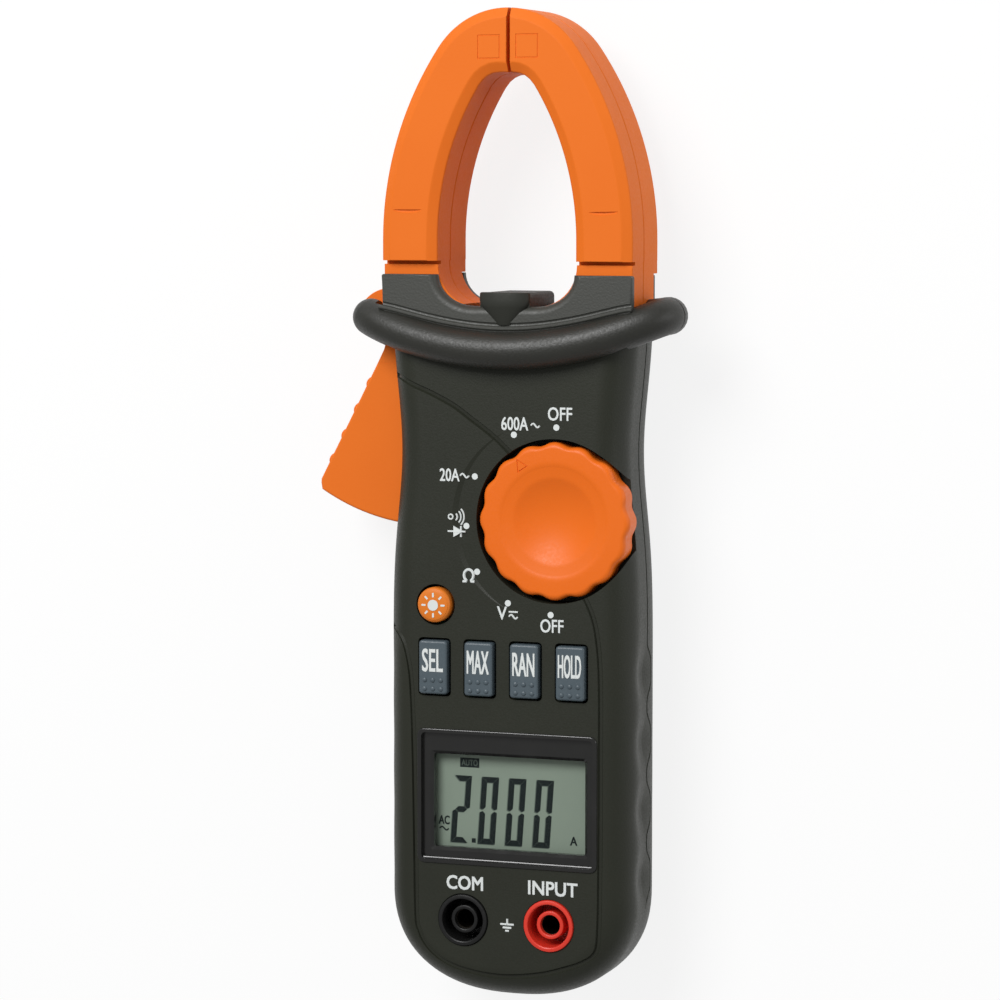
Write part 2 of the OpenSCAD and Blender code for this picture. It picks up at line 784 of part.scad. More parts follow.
module moving_jaw_rear() color(jaw_orange) difference() {
    union() {
        jaw_half(split_x - jaw_gap / 2, jaw_seam, jaw_z0);
        translate([0, 0, neck_z0]) linear_extrude(jaw_seam - neck_z0 - root_part) moving_root_2d();
        translate([0, 0, neck_z0]) linear_extrude(trigger_z1 - neck_z0) lever_2d();
        intersection() {
            translate([0, 0, trigger_z0]) linear_extrude(trigger_z1 - trigger_z0) trigger_2d();
            block([-far, -far, 0], [0, trigger_top, far]);
        }
    }
    jaw_hollow(split_x - jaw_gap / 2);
    post(pivot, pivot_r + run_fit, 0, far);
}

module moving_core() color(steel) jaw_core(split_x - jaw_gap / 2);

module moving_coil() color(copper) jaw_coil(split_x - jaw_gap / 2);

// Scalloped knob with a dished top, an engraved pointer and a socket for the rotor shaft
module selector_knob() color(jaw_orange) difference() {
    edge_r = 1;
    bowl_r = (pow(dish_r, 2) + pow(dish_depth, 2)) / (2 * dish_depth);
    translate([knob_x, knob_y, 0]) rotate_extrude()
        polygon([[0, knob_z0], [knob_r, knob_z0], [knob_r, knob_z1 - edge_r], [knob_r - edge_r, knob_z1],
            [0, knob_z1]]);
    for (i = [0:knob_scallops - 1]) translate([knob_x, knob_y, 0])
        rotate(360 / knob_scallops * (i + 0.5))
            post([knob_r + scallop_r - scallop_bite, 0], scallop_r, 0, far);
    translate([knob_x, knob_y, knob_z1 - dish_depth + bowl_r]) sphere(bowl_r, $fn = 96);
    translate([knob_x, knob_y, knob_z1 - pointer_depth]) rotate(90 + pointer_turn)
        translate([pointer_r, 0, 0]) cylinder(r = pointer_size, h = dish_depth, $fn = 3);
    post([knob_x, knob_y], shaft_r, 0, shaft_top);
}

module selector_rotor() color([0.9, 0.9, 0.86]) {
    post([knob_x, knob_y], shaft_r, rotor_z0, shaft_top);
    difference() {
        post([knob_x, knob_y], rotor_r, rotor_z0, rotor_z1);
        post([knob_x, knob_y], shaft_r - eps, 0, far);
    }
}

// Sprung wipers under the rotor that run on the board's tracks
module rotor_wipers() color(copper) {
    wiper_w = 1.6;
    wiper_t = 0.5;
    wiper_in = shaft_r + 1;
    wiper_len = 4;
    for (a = [0, 120, 240]) translate([knob_x, knob_y, board_z1 + shaft_gap]) rotate(a) {
        translate([wiper_in, -wiper_w / 2, 0]) cube([wiper_len, wiper_w, wiper_t]);
        translate([wiper_in, -wiper_w / 2, 0])
            cube([wiper_t, wiper_w, rotor_z0 - board_z1 - shaft_gap]);
    }
}

// Rectangular button: a cap, a flange that keeps it in the case and a stem over its switch
module key(i) {
    p = [key_x[i], key_y];
    block([p.x - key_w / 2, p.y - key_h / 2, key_flange_z], [p.x + key_w / 2, p.y + key_h / 2, key_top]);
    block([p.x - key_w / 2 - key_flange, p.y - key_h / 2 - key_flange, key_flange_z],
        [p.x + key_w / 2 + key_flange, p.y + key_h / 2 + key_flange, key_flange_z + key_flange_t]);
    post(p, key_stem_r, key_stem_z, key_flange_z + eps);
}

module backlight_button() color(jaw_orange) {
    post(lamp_key, lamp_key_r, key_flange_z, lamp_key_top);
    post(lamp_key, lamp_key_r + key_flange + 0.4, key_flange_z, key_flange_z + key_flange_t);
    post(lamp_key, key_stem_r, key_stem_z, key_flange_z + eps);
}

module select_button() color(key_blue) key(0);

module max_button() color(key_blue) key(1);

module range_button() color(key_blue) key(2);

module hold_button() color(key_blue) key(3);

front_case();
rear_case();
hand_guard();
hand_guard_rear();
jaw_stop();
battery_door();
battery_door_screw();
case_screws();
display_bezel();
display_window();
lcd_panel();
lcd_backlight();
lcd_connectors();
main_board();
main_chip();
com_socket();
input_socket();
com_contact();
input_contact();
tactile_switches();
buzzer();
battery_left();
battery_right();
battery_contacts();
fixed_jaw_front();
fixed_jaw_rear();
fixed_core();
fixed_coil();
pivot_pin();
jaw_spring();
moving_jaw_front();
moving_jaw_rear();
moving_core();
moving_coil();
selector_knob();
selector_rotor();
rotor_wipers();
backlight_button();
select_button();
max_button();
range_button();
hold_button();
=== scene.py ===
import json
import math

import bmesh
import bpy
from mathutils import Matrix, Vector


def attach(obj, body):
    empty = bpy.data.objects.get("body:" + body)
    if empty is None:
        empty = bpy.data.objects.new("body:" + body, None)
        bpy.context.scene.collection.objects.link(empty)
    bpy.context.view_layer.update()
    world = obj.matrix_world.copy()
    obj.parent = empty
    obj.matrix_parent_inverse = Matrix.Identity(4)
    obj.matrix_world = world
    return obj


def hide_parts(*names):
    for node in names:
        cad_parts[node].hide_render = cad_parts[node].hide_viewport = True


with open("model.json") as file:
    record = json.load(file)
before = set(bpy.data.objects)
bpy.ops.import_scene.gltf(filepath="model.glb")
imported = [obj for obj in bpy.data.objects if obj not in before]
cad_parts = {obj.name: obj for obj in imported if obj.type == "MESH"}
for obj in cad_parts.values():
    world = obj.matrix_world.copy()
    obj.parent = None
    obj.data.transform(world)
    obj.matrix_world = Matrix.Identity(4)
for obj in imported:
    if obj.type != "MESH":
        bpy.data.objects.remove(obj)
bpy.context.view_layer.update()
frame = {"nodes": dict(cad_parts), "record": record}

# Rear case half: the deep tray that lies in the palm and carries the board and the cells.
# Moulded in dark grey plastic with a soft grip skin over its sides; three screws hold it to the front half.
MM = 0.001
NEAR = 0.01
CASE_TOP = 38
CASE_HALF = 27.2
WAIST_DEPTH, WAIST_Y, WAIST_SPREAD = 2.1, 12, 18
END_Y, END_LEN, END_SQUARE = -80, 22.7, 2.35
END_STEPS, SIDE_STEPS = 24, 96
SEAM = 18
WALL = 2
BACK_ROUND = 16
SLOPE_START = Vector((0, 22.4, 0))
SLOPE_OUT = Vector((0, 1, -1.3)).normalized()
# Place of each screw across and along the case, and the foot of its post.
CASE_SCREWS = [(0, 18.6, 1), (-16.4, -92.4, 7.4), (16.4, -92.4, 7.4)]
SCREW_POST_R, SCREW_SINK_R, SCREW_SINK = 3.4, 2.8, 9
DOOR, DOOR_SIZE, DOOR_GAP = (0, -54.3), (29.2, 54.2), 0.2
FINGER_ROWS = [-33.9 - 14.4 * i for i in range(4)]
HOLLOW_DEPTH, HOLLOW_LENGTH, HOLLOW_Z, HOLLOW_HEIGHT = 1.1, 4.4, 19, 3.9
HOLLOW_CUTS, HOLLOW_FROM_X = (17, 19.1, 20.2, 21.3), 15
GRIP_TOP, GRIP_LENGTH, GRIP_STEPS = 37, 121, 160
GRIP_Z, GRIP_DIP, GRIP_DIP_LENGTH = 17.2, 3.4, 4.6
GRIP_LINE_R, LINE_PROUD = 0.3, 0.06
OUTSIDE = -60
TRIGGER_ROOMS = {
    "thumb plate": ((OUTSIDE, -5.3, 8.4), (-20, 30.6, 21.5)),
    "lever": ((OUTSIDE, 30.2, 14), (-20.1, 39, 21.4)),
    "jaw root": ((OUTSIDE, 33.8, 14), (-8.8, 39, 28.6)),
    "inner end of the lever": ((-20.9, 26, 14.1), (-8.9, 38, 21.3)),
    "inner corner of the plate at full swing": ((-24, 25.5, 8.6), (-9.1, 32.2, 14.6)),
}


def tone(red, green, blue):
    """Linear colour of a printed colour given in 0 to 255."""
    parts = [c / 255 for c in (red, green, blue)]
    return tuple(c / 12.92 if c <= 0.04045 else ((c + 0.055) / 1.055) ** 2.4 for c in parts) + (1.0,)


def node(tree, kind, **inputs):
    """Adds a shader node and sets some of its inputs, named with _ for a space."""
    made = tree.nodes.new("ShaderNode" + kind)
    for name, value in inputs.items():
        made.inputs[name.replace("_", " ")].default_value = value
    return made


def moulded(name, light, dark, rough, grain, depth, drift=45, coat=0.0, shine=0.5):
    """Moulded plastic: a slow drift of tone, and a fine spark-eroded grain in gloss and height."""
    finish = bpy.data.materials.new(name)
    finish.use_nodes = True
    tree = finish.node_tree
    shader = tree.nodes["Principled BSDF"]
    shader.inputs["Coat Weight"].default_value = coat
    shader.inputs["Specular IOR Level"].default_value = shine
    where = node(tree, "TexCoord")
    cloud = node(tree, "TexNoise", Scale=drift, Detail=3)
    pores = node(tree, "TexNoise", Scale=grain, Detail=2)
    blend = node(tree, "Mix")
    blend.data_type = "RGBA"
    blend.inputs[6].default_value = dark
    blend.inputs[7].default_value = light
    gloss = node(tree, "MapRange", From_Min=0.3, From_Max=0.7, To_Min=rough - 0.07, To_Max=rough + 0.07)
    relief = node(tree, "Bump", Strength=0.6, Distance=depth * MM)
    for texture in (cloud, pores):
        tree.links.new(where.outputs["Object"], texture.inputs["Vector"])
    tree.links.new(cloud.outputs["Fac"], blend.inputs[0])
    tree.links.new(blend.outputs[2], shader.inputs["Base Color"])
    tree.links.new(pores.outputs["Fac"], gloss.inputs["Value"])
    tree.links.new(gloss.outputs["Result"], shader.inputs["Roughness"])
    tree.links.new(pores.outputs["Fac"], relief.inputs["Height"])
    tree.links.new(relief.outputs["Normal"], shader.inputs["Normal"])
    return finish


def half_width(y):
    """Half the width of the case: straight sides with a drawn-in waist."""
    return CASE_HALF - WAIST_DEPTH * math.exp(-(((y - WAIST_Y) / WAIST_SPREAD) ** 2))


def case_outline(inset, top):
    """Points round the case from the middle of its lower end, drawn in by inset."""
    power = 2 / END_SQUARE
    right = []
    for i in range(END_STEPS):
        turn = math.pi / 2 * i / END_STEPS
        right.append(((CASE_HALF - inset) * math.sin(turn) ** power,
                      END_Y - (END_LEN - inset) * math.cos(turn) ** power))
    for i in range(SIDE_STEPS + 1):
        y = END_Y + (top - END_Y) * i / SIDE_STEPS
        right.append((half_width(y) - inset, y))
    return right + [(-x, y) for x, y in reversed(right[1:])]


def points_of(geom):
    """Vertices among the parts that an operator returns."""
    return [part for part in geom if isinstance(part, bmesh.types.BMVert)]


def all_of(bm):
    """Every part of a mesh."""
    return bm.verts[:] + bm.edges[:] + bm.faces[:]


def moved(bm, way):
    """Shifts a whole mesh."""
    bmesh.ops.translate(bm, vec=way, verts=bm.verts)
    return bm


def slab(points, low, high):
    """Upright prism on an outline."""
    bm = bmesh.new()
    foot = bm.faces.new([bm.verts.new((x, y, low)) for x, y in points])
    top = bmesh.ops.extrude_face_region(bm, geom=[foot])["geom"]
    bmesh.ops.translate(bm, vec=(0, 0, high - low), verts=points_of(top))
    bmesh.ops.recalc_face_normals(bm, faces=bm.faces)
    return bm


def rounded(bm, size, segments, keep):
    """Rounds the edges that keep picks."""
    edges = [e for e in bm.edges if keep(e)]
    bmesh.ops.bevel(bm, geom=edges, offset=size, offset_type="OFFSET", affect="EDGES", segments=segments,
                    profile=0.5, material=-1)
    return bm


def at_height(*heights, below_y=math.inf):
    """Picks the edges that lie at one of some heights, short of a place along the meter."""
    def keep(e):
        level = any(all(abs(v.co.z - z) < NEAR for v in e.verts) for z in heights)
        return level and not all(v.co.y > below_y - NEAR for v in e.verts)
    return keep


def upright(e):
    """Picks the edges that run along Z."""
    a, b = (v.co for v in e.verts)
    return abs(a.x - b.x) + abs(a.y - b.y) < 0.001


def case_form(inset, top, low, high, round_z, size, steps):
    """Solid on the case's outline, its edge rounded at one height but not across the head."""
    return rounded(slab(case_outline(inset, top), low, high), size, steps, at_height(round_z, below_y=top))


def block(low, high, corner=0.0, steps=3):
    """Box between two corners, its upright edges rounded."""
    (x0, y0, z0), (x1, y1, z1) = low, high
    bm = slab([(x0, y0), (x1, y0), (x1, y1), (x0, y1)], z0, z1)
    return rounded(bm, corner, steps, upright) if corner else bm


def plate_at(centre, size, low, high, corner, steps=3):
    """Box about a place on the panel, its upright edges rounded."""
    (x, y), (width, length) = centre, size
    return block((x - width / 2, y - length / 2, low), (x + width / 2, y + length / 2, high), corner, steps)


def widened(size, gap):
    """Size of an opening that leaves a gap all round."""
    return size[0] + 2 * gap, size[1] + 2 * gap


def post(x, y, radius, low, high, sides=64, top=None):
    """Upright cylinder, or a cone where top is given."""
    bm = bmesh.new()
    bmesh.ops.create_cone(bm, cap_ends=True, segments=sides, radius1=radius,
                          radius2=radius if top is None else top, depth=high - low)
    return moved(bm, (x, y, (low + high) / 2))


def cut_off(bm, place, outward):
    """Takes off what lies beyond a plane and closes the cut."""
    bmesh.ops.bisect_plane(bm, geom=all_of(bm), plane_co=place, plane_no=outward, clear_outer=True)
    bmesh.ops.holes_fill(bm, edges=[e for e in bm.edges if e.is_boundary])
    bmesh.ops.recalc_face_normals(bm, faces=bm.faces)
    return bm


def as_object(bm, name):
    """Puts a mesh in the scene as a piece."""
    mesh = bpy.data.meshes.new(name)
    bm.to_mesh(mesh)
    bm.free()
    piece = bpy.data.objects.new(name, mesh)
    bpy.context.scene.collection.objects.link(piece)
    return piece


def shaped(piece, operation, *tools, overlaps=False):
    """Cuts tools out of a piece, or joins them to it, one after another."""
    for tool in tools:
        blade = as_object(tool, "tool")
        step = piece.modifiers.new("shape", "BOOLEAN")
        step.operation = operation
        step.solver = "EXACT"
        step.use_self = overlaps
        step.object = blade
        graph = bpy.context.evaluated_depsgraph_get()
        piece.data = bpy.data.meshes.new_from_object(piece.evaluated_get(graph))
        piece.modifiers.clear()
        bpy.data.objects.remove(blade)
    return piece


def finished(piece, finish, body, slot, *nodes, sharp=32, even=True):
    """Brings a piece to metres, gives it its finish and ties it to its body."""
    piece.data.transform(Matrix.Scale(MM, 4))
    piece.data.materials.clear()
    piece.data.materials.append(finish)
    piece.data.shade_smooth()
    piece.data.set_sharp_from_angle(angle=math.radians(sharp))
    if even:
        normals = piece.modifiers.new("even_shading", "WEIGHTED_NORMAL")
        normals.keep_sharp = True
    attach(piece, body)
    if nodes:
        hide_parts(*nodes)
    return piece


def meshed(curve):
    """Mesh of a curve or text, with the curve taken away."""
    holder = bpy.data.objects.new("curve", curve)
    bpy.context.scene.collection.objects.link(holder)
    graph = bpy.context.evaluated_depsgraph_get()
    mesh = bpy.data.meshes.new_from_object(holder.evaluated_get(graph))
    bm = bmesh.new()
    bm.from_mesh(mesh)
    bpy.data.objects.remove(holder)
    bmesh.ops.remove_doubles(bm, verts=bm.verts, dist=0.0005)
    bmesh.ops.recalc_face_normals(bm, faces=bm.faces)
    return bm


def tube(path, radius, closed=False, fine=3):
    """Round bar along a path."""
    curve = bpy.data.curves.new("path", "CURVE")
    curve.dimensions = "3D"
    curve.bevel_depth = radius
    curve.bevel_resolution = fine
    curve.use_fill_caps = not closed
    spline = curve.splines.new("POLY")
    spline.points.add(len(path) - 1)
    for point, place in zip(spline.points, path):
        point.co = (*place, 1)
    spline.use_cyclic_u = closed
    return meshed(curve)


def trigger_slot():
    """Room in the left wall for the trigger and the root of the moving jaw."""
    return [block(low, high) for low, high in TRIGGER_ROOMS.values()]


def side_x(y, z):
    """Outer face of the case's side at a height."""
    if z >= BACK_ROUND:
        return half_width(y)
    return half_width(y) - BACK_ROUND + math.sqrt(BACK_ROUND ** 2 - (BACK_ROUND - z) ** 2)


def hollow(y, z):
    """Depth of the finger hollows at a place on the side."""
    along = sum(math.exp(-(((y - row) / HOLLOW_LENGTH) ** 2)) for row in FINGER_ROWS)
    return HOLLOW_DEPTH * along * math.exp(-(((z - HOLLOW_Z) / HOLLOW_HEIGHT) ** 2))


def gripped(bm):
    """Presses the finger hollows softly into both sides."""
    for height in HOLLOW_CUTS:
        bmesh.ops.bisect_plane(bm, geom=all_of(bm), plane_co=(0, 0, height), plane_no=(0, 0, 1))
    for vert in bm.verts:
        if abs(vert.co.x) > HOLLOW_FROM_X:
            vert.co.x -= math.copysign(hollow(vert.co.y, vert.co.z), vert.co.x)
    return bm


def grip_lines():
    """Wavy line on both sides, where the grip skin ends below the finger hollows."""
    lines = []
    for side in (-1, 1):
        line = []
        for i in range(GRIP_STEPS + 1):
            y = GRIP_TOP - GRIP_LENGTH * i / GRIP_STEPS
            dips = sum(math.exp(-(((y - row) / GRIP_DIP_LENGTH) ** 4)) for row in FINGER_ROWS)
            z = GRIP_Z - GRIP_DIP * dips
            line.append((side * (side_x(y, z) - hollow(y, z) + LINE_PROUD), y, z))
        lines.append(tube(line, GRIP_LINE_R, fine=1))
    return lines


case_grey = moulded("case_grey", tone(41, 43, 34), tone(35, 37, 29), 0.46, 2600, 0.05, shine=0.3)
bm = gripped(case_form(0, CASE_TOP, 0, SEAM, 0, BACK_ROUND, 14))
rear_shell = as_object(cut_off(bm, SLOPE_START, SLOPE_OUT), "rear_shell")
bm = case_form(WALL, CASE_TOP - WALL, WALL, SEAM + 1, WALL, BACK_ROUND - WALL, 8)
shaped(rear_shell, "DIFFERENCE", cut_off(bm, SLOPE_START - WALL * SLOPE_OUT, SLOPE_OUT))
posts = [post(x, y, SCREW_POST_R, foot, SEAM - 0.01) for x, y, foot in CASE_SCREWS]
shaped(rear_shell, "UNION", *posts)
door_hole = plate_at(DOOR, widened(DOOR_SIZE, DOOR_GAP), -1, WALL + 0.5, 1)
sinks = [post(x, y, SCREW_SINK_R, -1, SCREW_SINK) for x, y, _ in CASE_SCREWS]
shaped(rear_shell, "DIFFERENCE", door_hole, *sinks, *trigger_slot(), *grip_lines())
finished(rear_shell, case_grey, "housing", "case_grey", "rear_case")

# Front case half: the panel with its cut-outs for knob, keys, display and sockets.
# Moulded in the same grey and screwed to the rear half; a channel parts the hard panel from the grip skin
# that wraps its edge.
PANEL = 29
FRONT_ROUND = 6.5
CUT_LOW, CUT_HIGH = 20, 40
KNOB = (10.5, -1.8)
WELL_R, WELL_FLOOR = 17.1, 23
RIM_WIDTH, RIM_LOW, RIM_INSET = 1.6, 21.4, 0.6
SHAFT_HOLE_R = 5.05
DIP_R, DIP_FALL = 21.8, 0.036
KEY_SIZE, KEY_GAP = (6.3, 11.3), 0.5
KEY_MIDDLE, KEY_PITCH, KEY_Y = -0.7, 10.1, -33.15
KEY_X = [KEY_MIDDLE + (i - 1.5) * KEY_PITCH for i in range(4)]
LAMP_KEY, LAMP_HOLE_R = (-15.6, -20), 4.3
BEZEL, BEZEL_SIZE = (0.3, -60.3), (38.4, 27.8)
SOCKET_X, SOCKET_Y, SOCKET_HOLE_R = 9.525, -86.5, 5.62
CHANNEL_R = 0.62
CHANNEL_TOP = [(-25.7, 27.9), (-24, 27.4), (-20.7, 26), (-16.7, 24.4), (-11.5, 21.8), (-7.6, 19.1),
               (-3, 15.8), (0.9, 12.3), (2, 11.2)]
CHANNEL_LOW = [(17.2, -17.2), (18.4, -19.6), (19.4, -22.4), (20.1, -26), (20.6, -31.2), (20.8, -38.5),
               (20.8, -51), (20.8, -64), (20.7, -76), (20.6, -84.6), (20.2, -90), (19.1, -92.3), (17, -93.8),
               (14.2, -95), (8.1, -96.9), (1.5, -97.9), (-3.1, -98), (-8.3, -97.4), (-13, -96.1),
               (-16.3, -94.1), (-18.3, -91.9), (-19.4, -89.6), (-20, -86.4), (-20.2, -72.4), (-20.5, -53.2),
               (-20.9, -40.5), (-21.4, -34.2), (-22.7, -28.9), (-24.6, -26.2), (-26.8, -25)]


def panel_z(x, y):
    """Height of the front face, with its rounded edge."""
    power = END_SQUARE
    across, along = abs(x) / half_width(y), max(0, END_Y - y) / END_LEN
    share = (across ** power + along ** power) ** (1 / power)
    slope = math.hypot((across / share) ** (power - 1) / half_width(y),
                       (along / share) ** (power - 1) / END_LEN)
    beyond = max(0, FRONT_ROUND - (1 - share) / slope)
    return PANEL - FRONT_ROUND + math.sqrt(max(0, FRONT_ROUND ** 2 - beyond ** 2))


def between(a, b, c, d, t):
    """Place a share t of the way from b to c, on a smooth curve that also passes a and d."""
    return 0.5 * (2 * b + (c - a) * t + (2 * a - 5 * b + 4 * c - d) * t * t
                  + (3 * b - a - 3 * c + d) * t ** 3)


def through(points, steps=8):
    """Smooth path through points."""
    ends = [points[0]] + points + [points[-1]]
    path = []
    for four in zip(ends, ends[1:], ends[2:], ends[3:]):
        path += [tuple(between(*places, i / steps) for places in zip(*four)) for i in range(steps)]
    return path + [points[-1]]


def channel(points):
    """Half-round channel that follows the front face."""
    return tube([(x, y, panel_z(x, y) + LINE_PROUD) for x, y in through(points)], CHANNEL_R, fine=1)


def swung(bm, degrees, axis, about=(0, 0, 0)):
    """Turns a whole mesh about a line."""
    bmesh.ops.rotate(bm, cent=about, matrix=Matrix.Rotation(math.radians(degrees), 3, axis), verts=bm.verts)
    return bm


bm = gripped(case_form(0, CASE_TOP, SEAM, PANEL, PANEL, FRONT_ROUND, 10))
front_shell = as_object(bm, "front_shell")
ceiling = PANEL - WALL
bm = case_form(WALL, CASE_TOP - WALL, SEAM - 1, ceiling, ceiling, FRONT_ROUND - WALL, 5)
shaped(front_shell, "DIFFERENCE", bm)
under_skin = PANEL - RIM_INSET
bm = case_form(RIM_INSET, CASE_TOP, SEAM, under_skin, under_skin, FRONT_ROUND - RIM_INSET, 8)
well_rim = as_object(post(*KNOB, WELL_R + RIM_WIDTH, RIM_LOW, PANEL - 1, 96), "well_rim")
shaped(well_rim, "INTERSECT", bm)
bm = bmesh.new()
bm.from_mesh(well_rim.data)
bpy.data.objects.remove(well_rim)
shaped(front_shell, "UNION", bm)
dial_dip = post(*KNOB, DIP_R - 0.6, PANEL, PANEL + 3, 128, top=DIP_R + 7.6)
swung(dial_dip, -math.degrees(math.atan(DIP_FALL)), "Y", about=(0, KNOB[1], PANEL))
knob_holes = [post(*KNOB, WELL_R, WELL_FLOOR, CUT_HIGH, 128), post(*KNOB, SHAFT_HOLE_R, SEAM, WELL_FLOOR + 1)]
key_holes = [plate_at((x, KEY_Y), widened(KEY_SIZE, KEY_GAP), CUT_LOW, CUT_HIGH, 0.9) for x in KEY_X]
lamp_hole = post(*LAMP_KEY, LAMP_HOLE_R, CUT_LOW, CUT_HIGH)
bezel_hole = plate_at(BEZEL, BEZEL_SIZE, CUT_LOW, CUT_HIGH, 1.2)
socket_holes = [post(side * SOCKET_X, SOCKET_Y, SOCKET_HOLE_R, 10, CUT_HIGH) for side in (-1, 1)]
shaped(front_shell, "DIFFERENCE", dial_dip, *knob_holes, *key_holes, lamp_hole, bezel_hole, *socket_holes,
       *trigger_slot(), *grip_lines(), channel(CHANNEL_TOP), channel(CHANNEL_LOW))
finished(front_shell, case_grey, "housing", "case_grey", "front_case", sharp=14)

# Head plates: the front cover and the back plate that hold the jaw roots between them.
# Both are grey plastic, moulded with the case halves; the front one has a rounded lip and a notch for the
# jaw stop.
GUARD_HALF, GUARD_Y, GUARD_RISE, GUARD_Z, GUARD_DEPTH = 33, 33.4, 7.3, 22, 9
GUARD_R = 3.9
COVER_LEFT, HEAD_HALF = 27, 27.7
HEAD_TOP, HEAD_CORNER = 49, 0.5
COVER_LOW, COVER_TOP = 28.6, 30.4
BACK_LOW, BACK_TOP = 12.2, 14
WINDOW_X, WINDOW_RX, WINDOW_RY = 6.65, 8.3, 6.5
BEAD_R = 0.42


def guard_mid(u):
    """Middle of the guard's section at an angle round the case."""
    c = math.cos(u)
    bow, square = (c * c, c ** 0.7) if c > 0 else (0.3 * c * c, c)
    return Vector((GUARD_HALF * math.sin(u), GUARD_Y + GUARD_RISE * (1 - bow),
                   GUARD_Z + GUARD_DEPTH * square))


def arc(x, y, rx, ry, start, end, steps):
    """Points on an arc, angles in degrees."""
    turns = [math.radians(start + (end - start) * i / steps) for i in range(steps + 1)]
    return [(x + rx * math.cos(a), y + ry * math.sin(a)) for a in turns]


def head_outline(left_half, right_half):
    """Plate whose lower edge follows the guard and whose upper edge dips round the jaw window."""
    first, last = math.asin(-left_half / GUARD_HALF), math.asin(right_half / GUARD_HALF)
    lower = [guard_mid(first + (last - first) * i / 32) for i in range(33)]
    corner_y = HEAD_TOP - HEAD_CORNER
    right = arc(right_half - HEAD_CORNER, corner_y, HEAD_CORNER, HEAD_CORNER, 0, 90, 6)
    right += arc(WINDOW_X, HEAD_TOP, WINDOW_RX, WINDOW_RY, 0, -90, 12)
    left = arc(-WINDOW_X, HEAD_TOP, WINDOW_RX, WINDOW_RY, -90, -180, 12)
    left += arc(HEAD_CORNER - left_half, corner_y, HEAD_CORNER, HEAD_CORNER, 90, 180, 6)
    return [(p.x, p.y - 1) for p in lower] + right + left


def guard_side(reach, off):
    """Line on the cover that keeps a distance from the guard's upper flank."""
    line = []
    for i in range(-reach, reach + 1):
        mid = guard_mid(math.asin(HEAD_HALF / GUARD_HALF) * i / 20)
        flank = mid.y + math.sqrt(GUARD_R ** 2 - (mid.z - COVER_TOP) ** 2)
        line.append((mid.x, flank + off, COVER_TOP + 0.05))
    return line


def cover_edge(where):
    """Picks the cover's upper edges whose ends both lie where a test says."""
    return lambda e: at_height(COVER_TOP)(e) and all(where(v.co) for v in e.verts)


# The cover is given a lighter, rougher copy of the case grey: the lighter tone is painted light its face
# catches.
cover_painted_light_grey = moulded("cover_painted_light_grey", tone(62, 63, 58), tone(53, 54, 50), 0.5, 2200, 0.08)
bm = slab(head_outline(COVER_LEFT, HEAD_HALF), COVER_LOW, COVER_TOP)
rounded(bm, 1.7, 6, cover_edge(lambda p: abs(p.x) < 15 and p.y > 42))
rounded(bm, 1, 4, cover_edge(lambda p: p.x < NEAR - COVER_LEFT or p.x > HEAD_HALF - NEAR))
rounded(bm, 0.4, 3, cover_edge(lambda p: p.y > HEAD_TOP - NEAR))
head_cover = shaped(as_object(bm, "head_cover"), "DIFFERENCE", tube(guard_side(21, 1.5), BEAD_R, fine=2))
finished(head_cover, cover_painted_light_grey, "housing", "case_grey")
bm = slab(head_outline(COVER_LEFT, COVER_LEFT), BACK_LOW, BACK_TOP)
head_back = as_object(rounded(bm, 0.35, 3, at_height(BACK_LOW)), "head_back")
finished(head_back, case_grey, "housing", "case_grey")

# Hand guard: a thick rounded bar that bows across the front and hooks round both sides, so that a hand
# can't slip up to the live conductor. Moulded in dark plastic and fixed over the head cover.
GUARD_LEFT, GUARD_JOIN, GUARD_RIGHT = -70, 88, 134
GUARD_SEAT, GUARD_LEFT_ROOM, GUARD_BEYOND = 26.7, 29.2, 60
guard_grey = moulded("guard_grey", tone(42, 42, 37), tone(34, 34, 30), 0.45, 2200, 0.09)


def guard_bar(first, last, steps, name):
    """Length of the guard, cut to sit on the head cover."""
    turns = [math.radians(first + (last - first) * i / steps) for i in range(steps + 1)]
    bm = tube([guard_mid(turn) for turn in turns], GUARD_R, fine=10)
    seat = block((-GUARD_SEAT, 0, 0), (GUARD_SEAT, GUARD_BEYOND, COVER_TOP))
    return shaped(as_object(bm, name), "DIFFERENCE", seat, overlaps=True)


def ball(radius, columns, rows, squash=None):
    """Sphere about the origin, drawn out or flattened by squash."""
    bm = bmesh.new()
    bmesh.ops.create_uvsphere(bm, u_segments=columns, v_segments=rows, radius=radius)
    if squash:
        bmesh.ops.scale(bm, vec=squash, verts=bm.verts)
    return bm


def dome(turn):
    """Round end of the guard."""
    return moved(ball(GUARD_R * 0.998, 40, 24), guard_mid(math.radians(turn)))


hand_guard = guard_bar(GUARD_LEFT, GUARD_JOIN, 80, "hand_guard_bar")
shaped(hand_guard, "UNION", dome(GUARD_LEFT), overlaps=True)
jaw_room = block((-GUARD_LEFT_ROOM, 0, 0), (0, GUARD_BEYOND, COVER_LOW))
shaped(hand_guard, "DIFFERENCE", jaw_room, overlaps=True)
finished(hand_guard, guard_grey, "housing", "guard_grey", "hand_guard")
guard_hook = guard_bar(GUARD_JOIN, GUARD_RIGHT, 24, "guard_hook")
shaped(guard_hook, "UNION", dome(GUARD_RIGHT), overlaps=True)
finished(guard_hook, guard_grey, "housing", "guard_grey", "hand_guard_rear")
# The bead takes the cover's lighter grey, painted light for its lit edge.
guard_bead = as_object(tube(guard_side(20, 0.65), BEAD_R), "guard_bead")
finished(guard_bead, cover_painted_light_grey, "housing", "guard_grey")

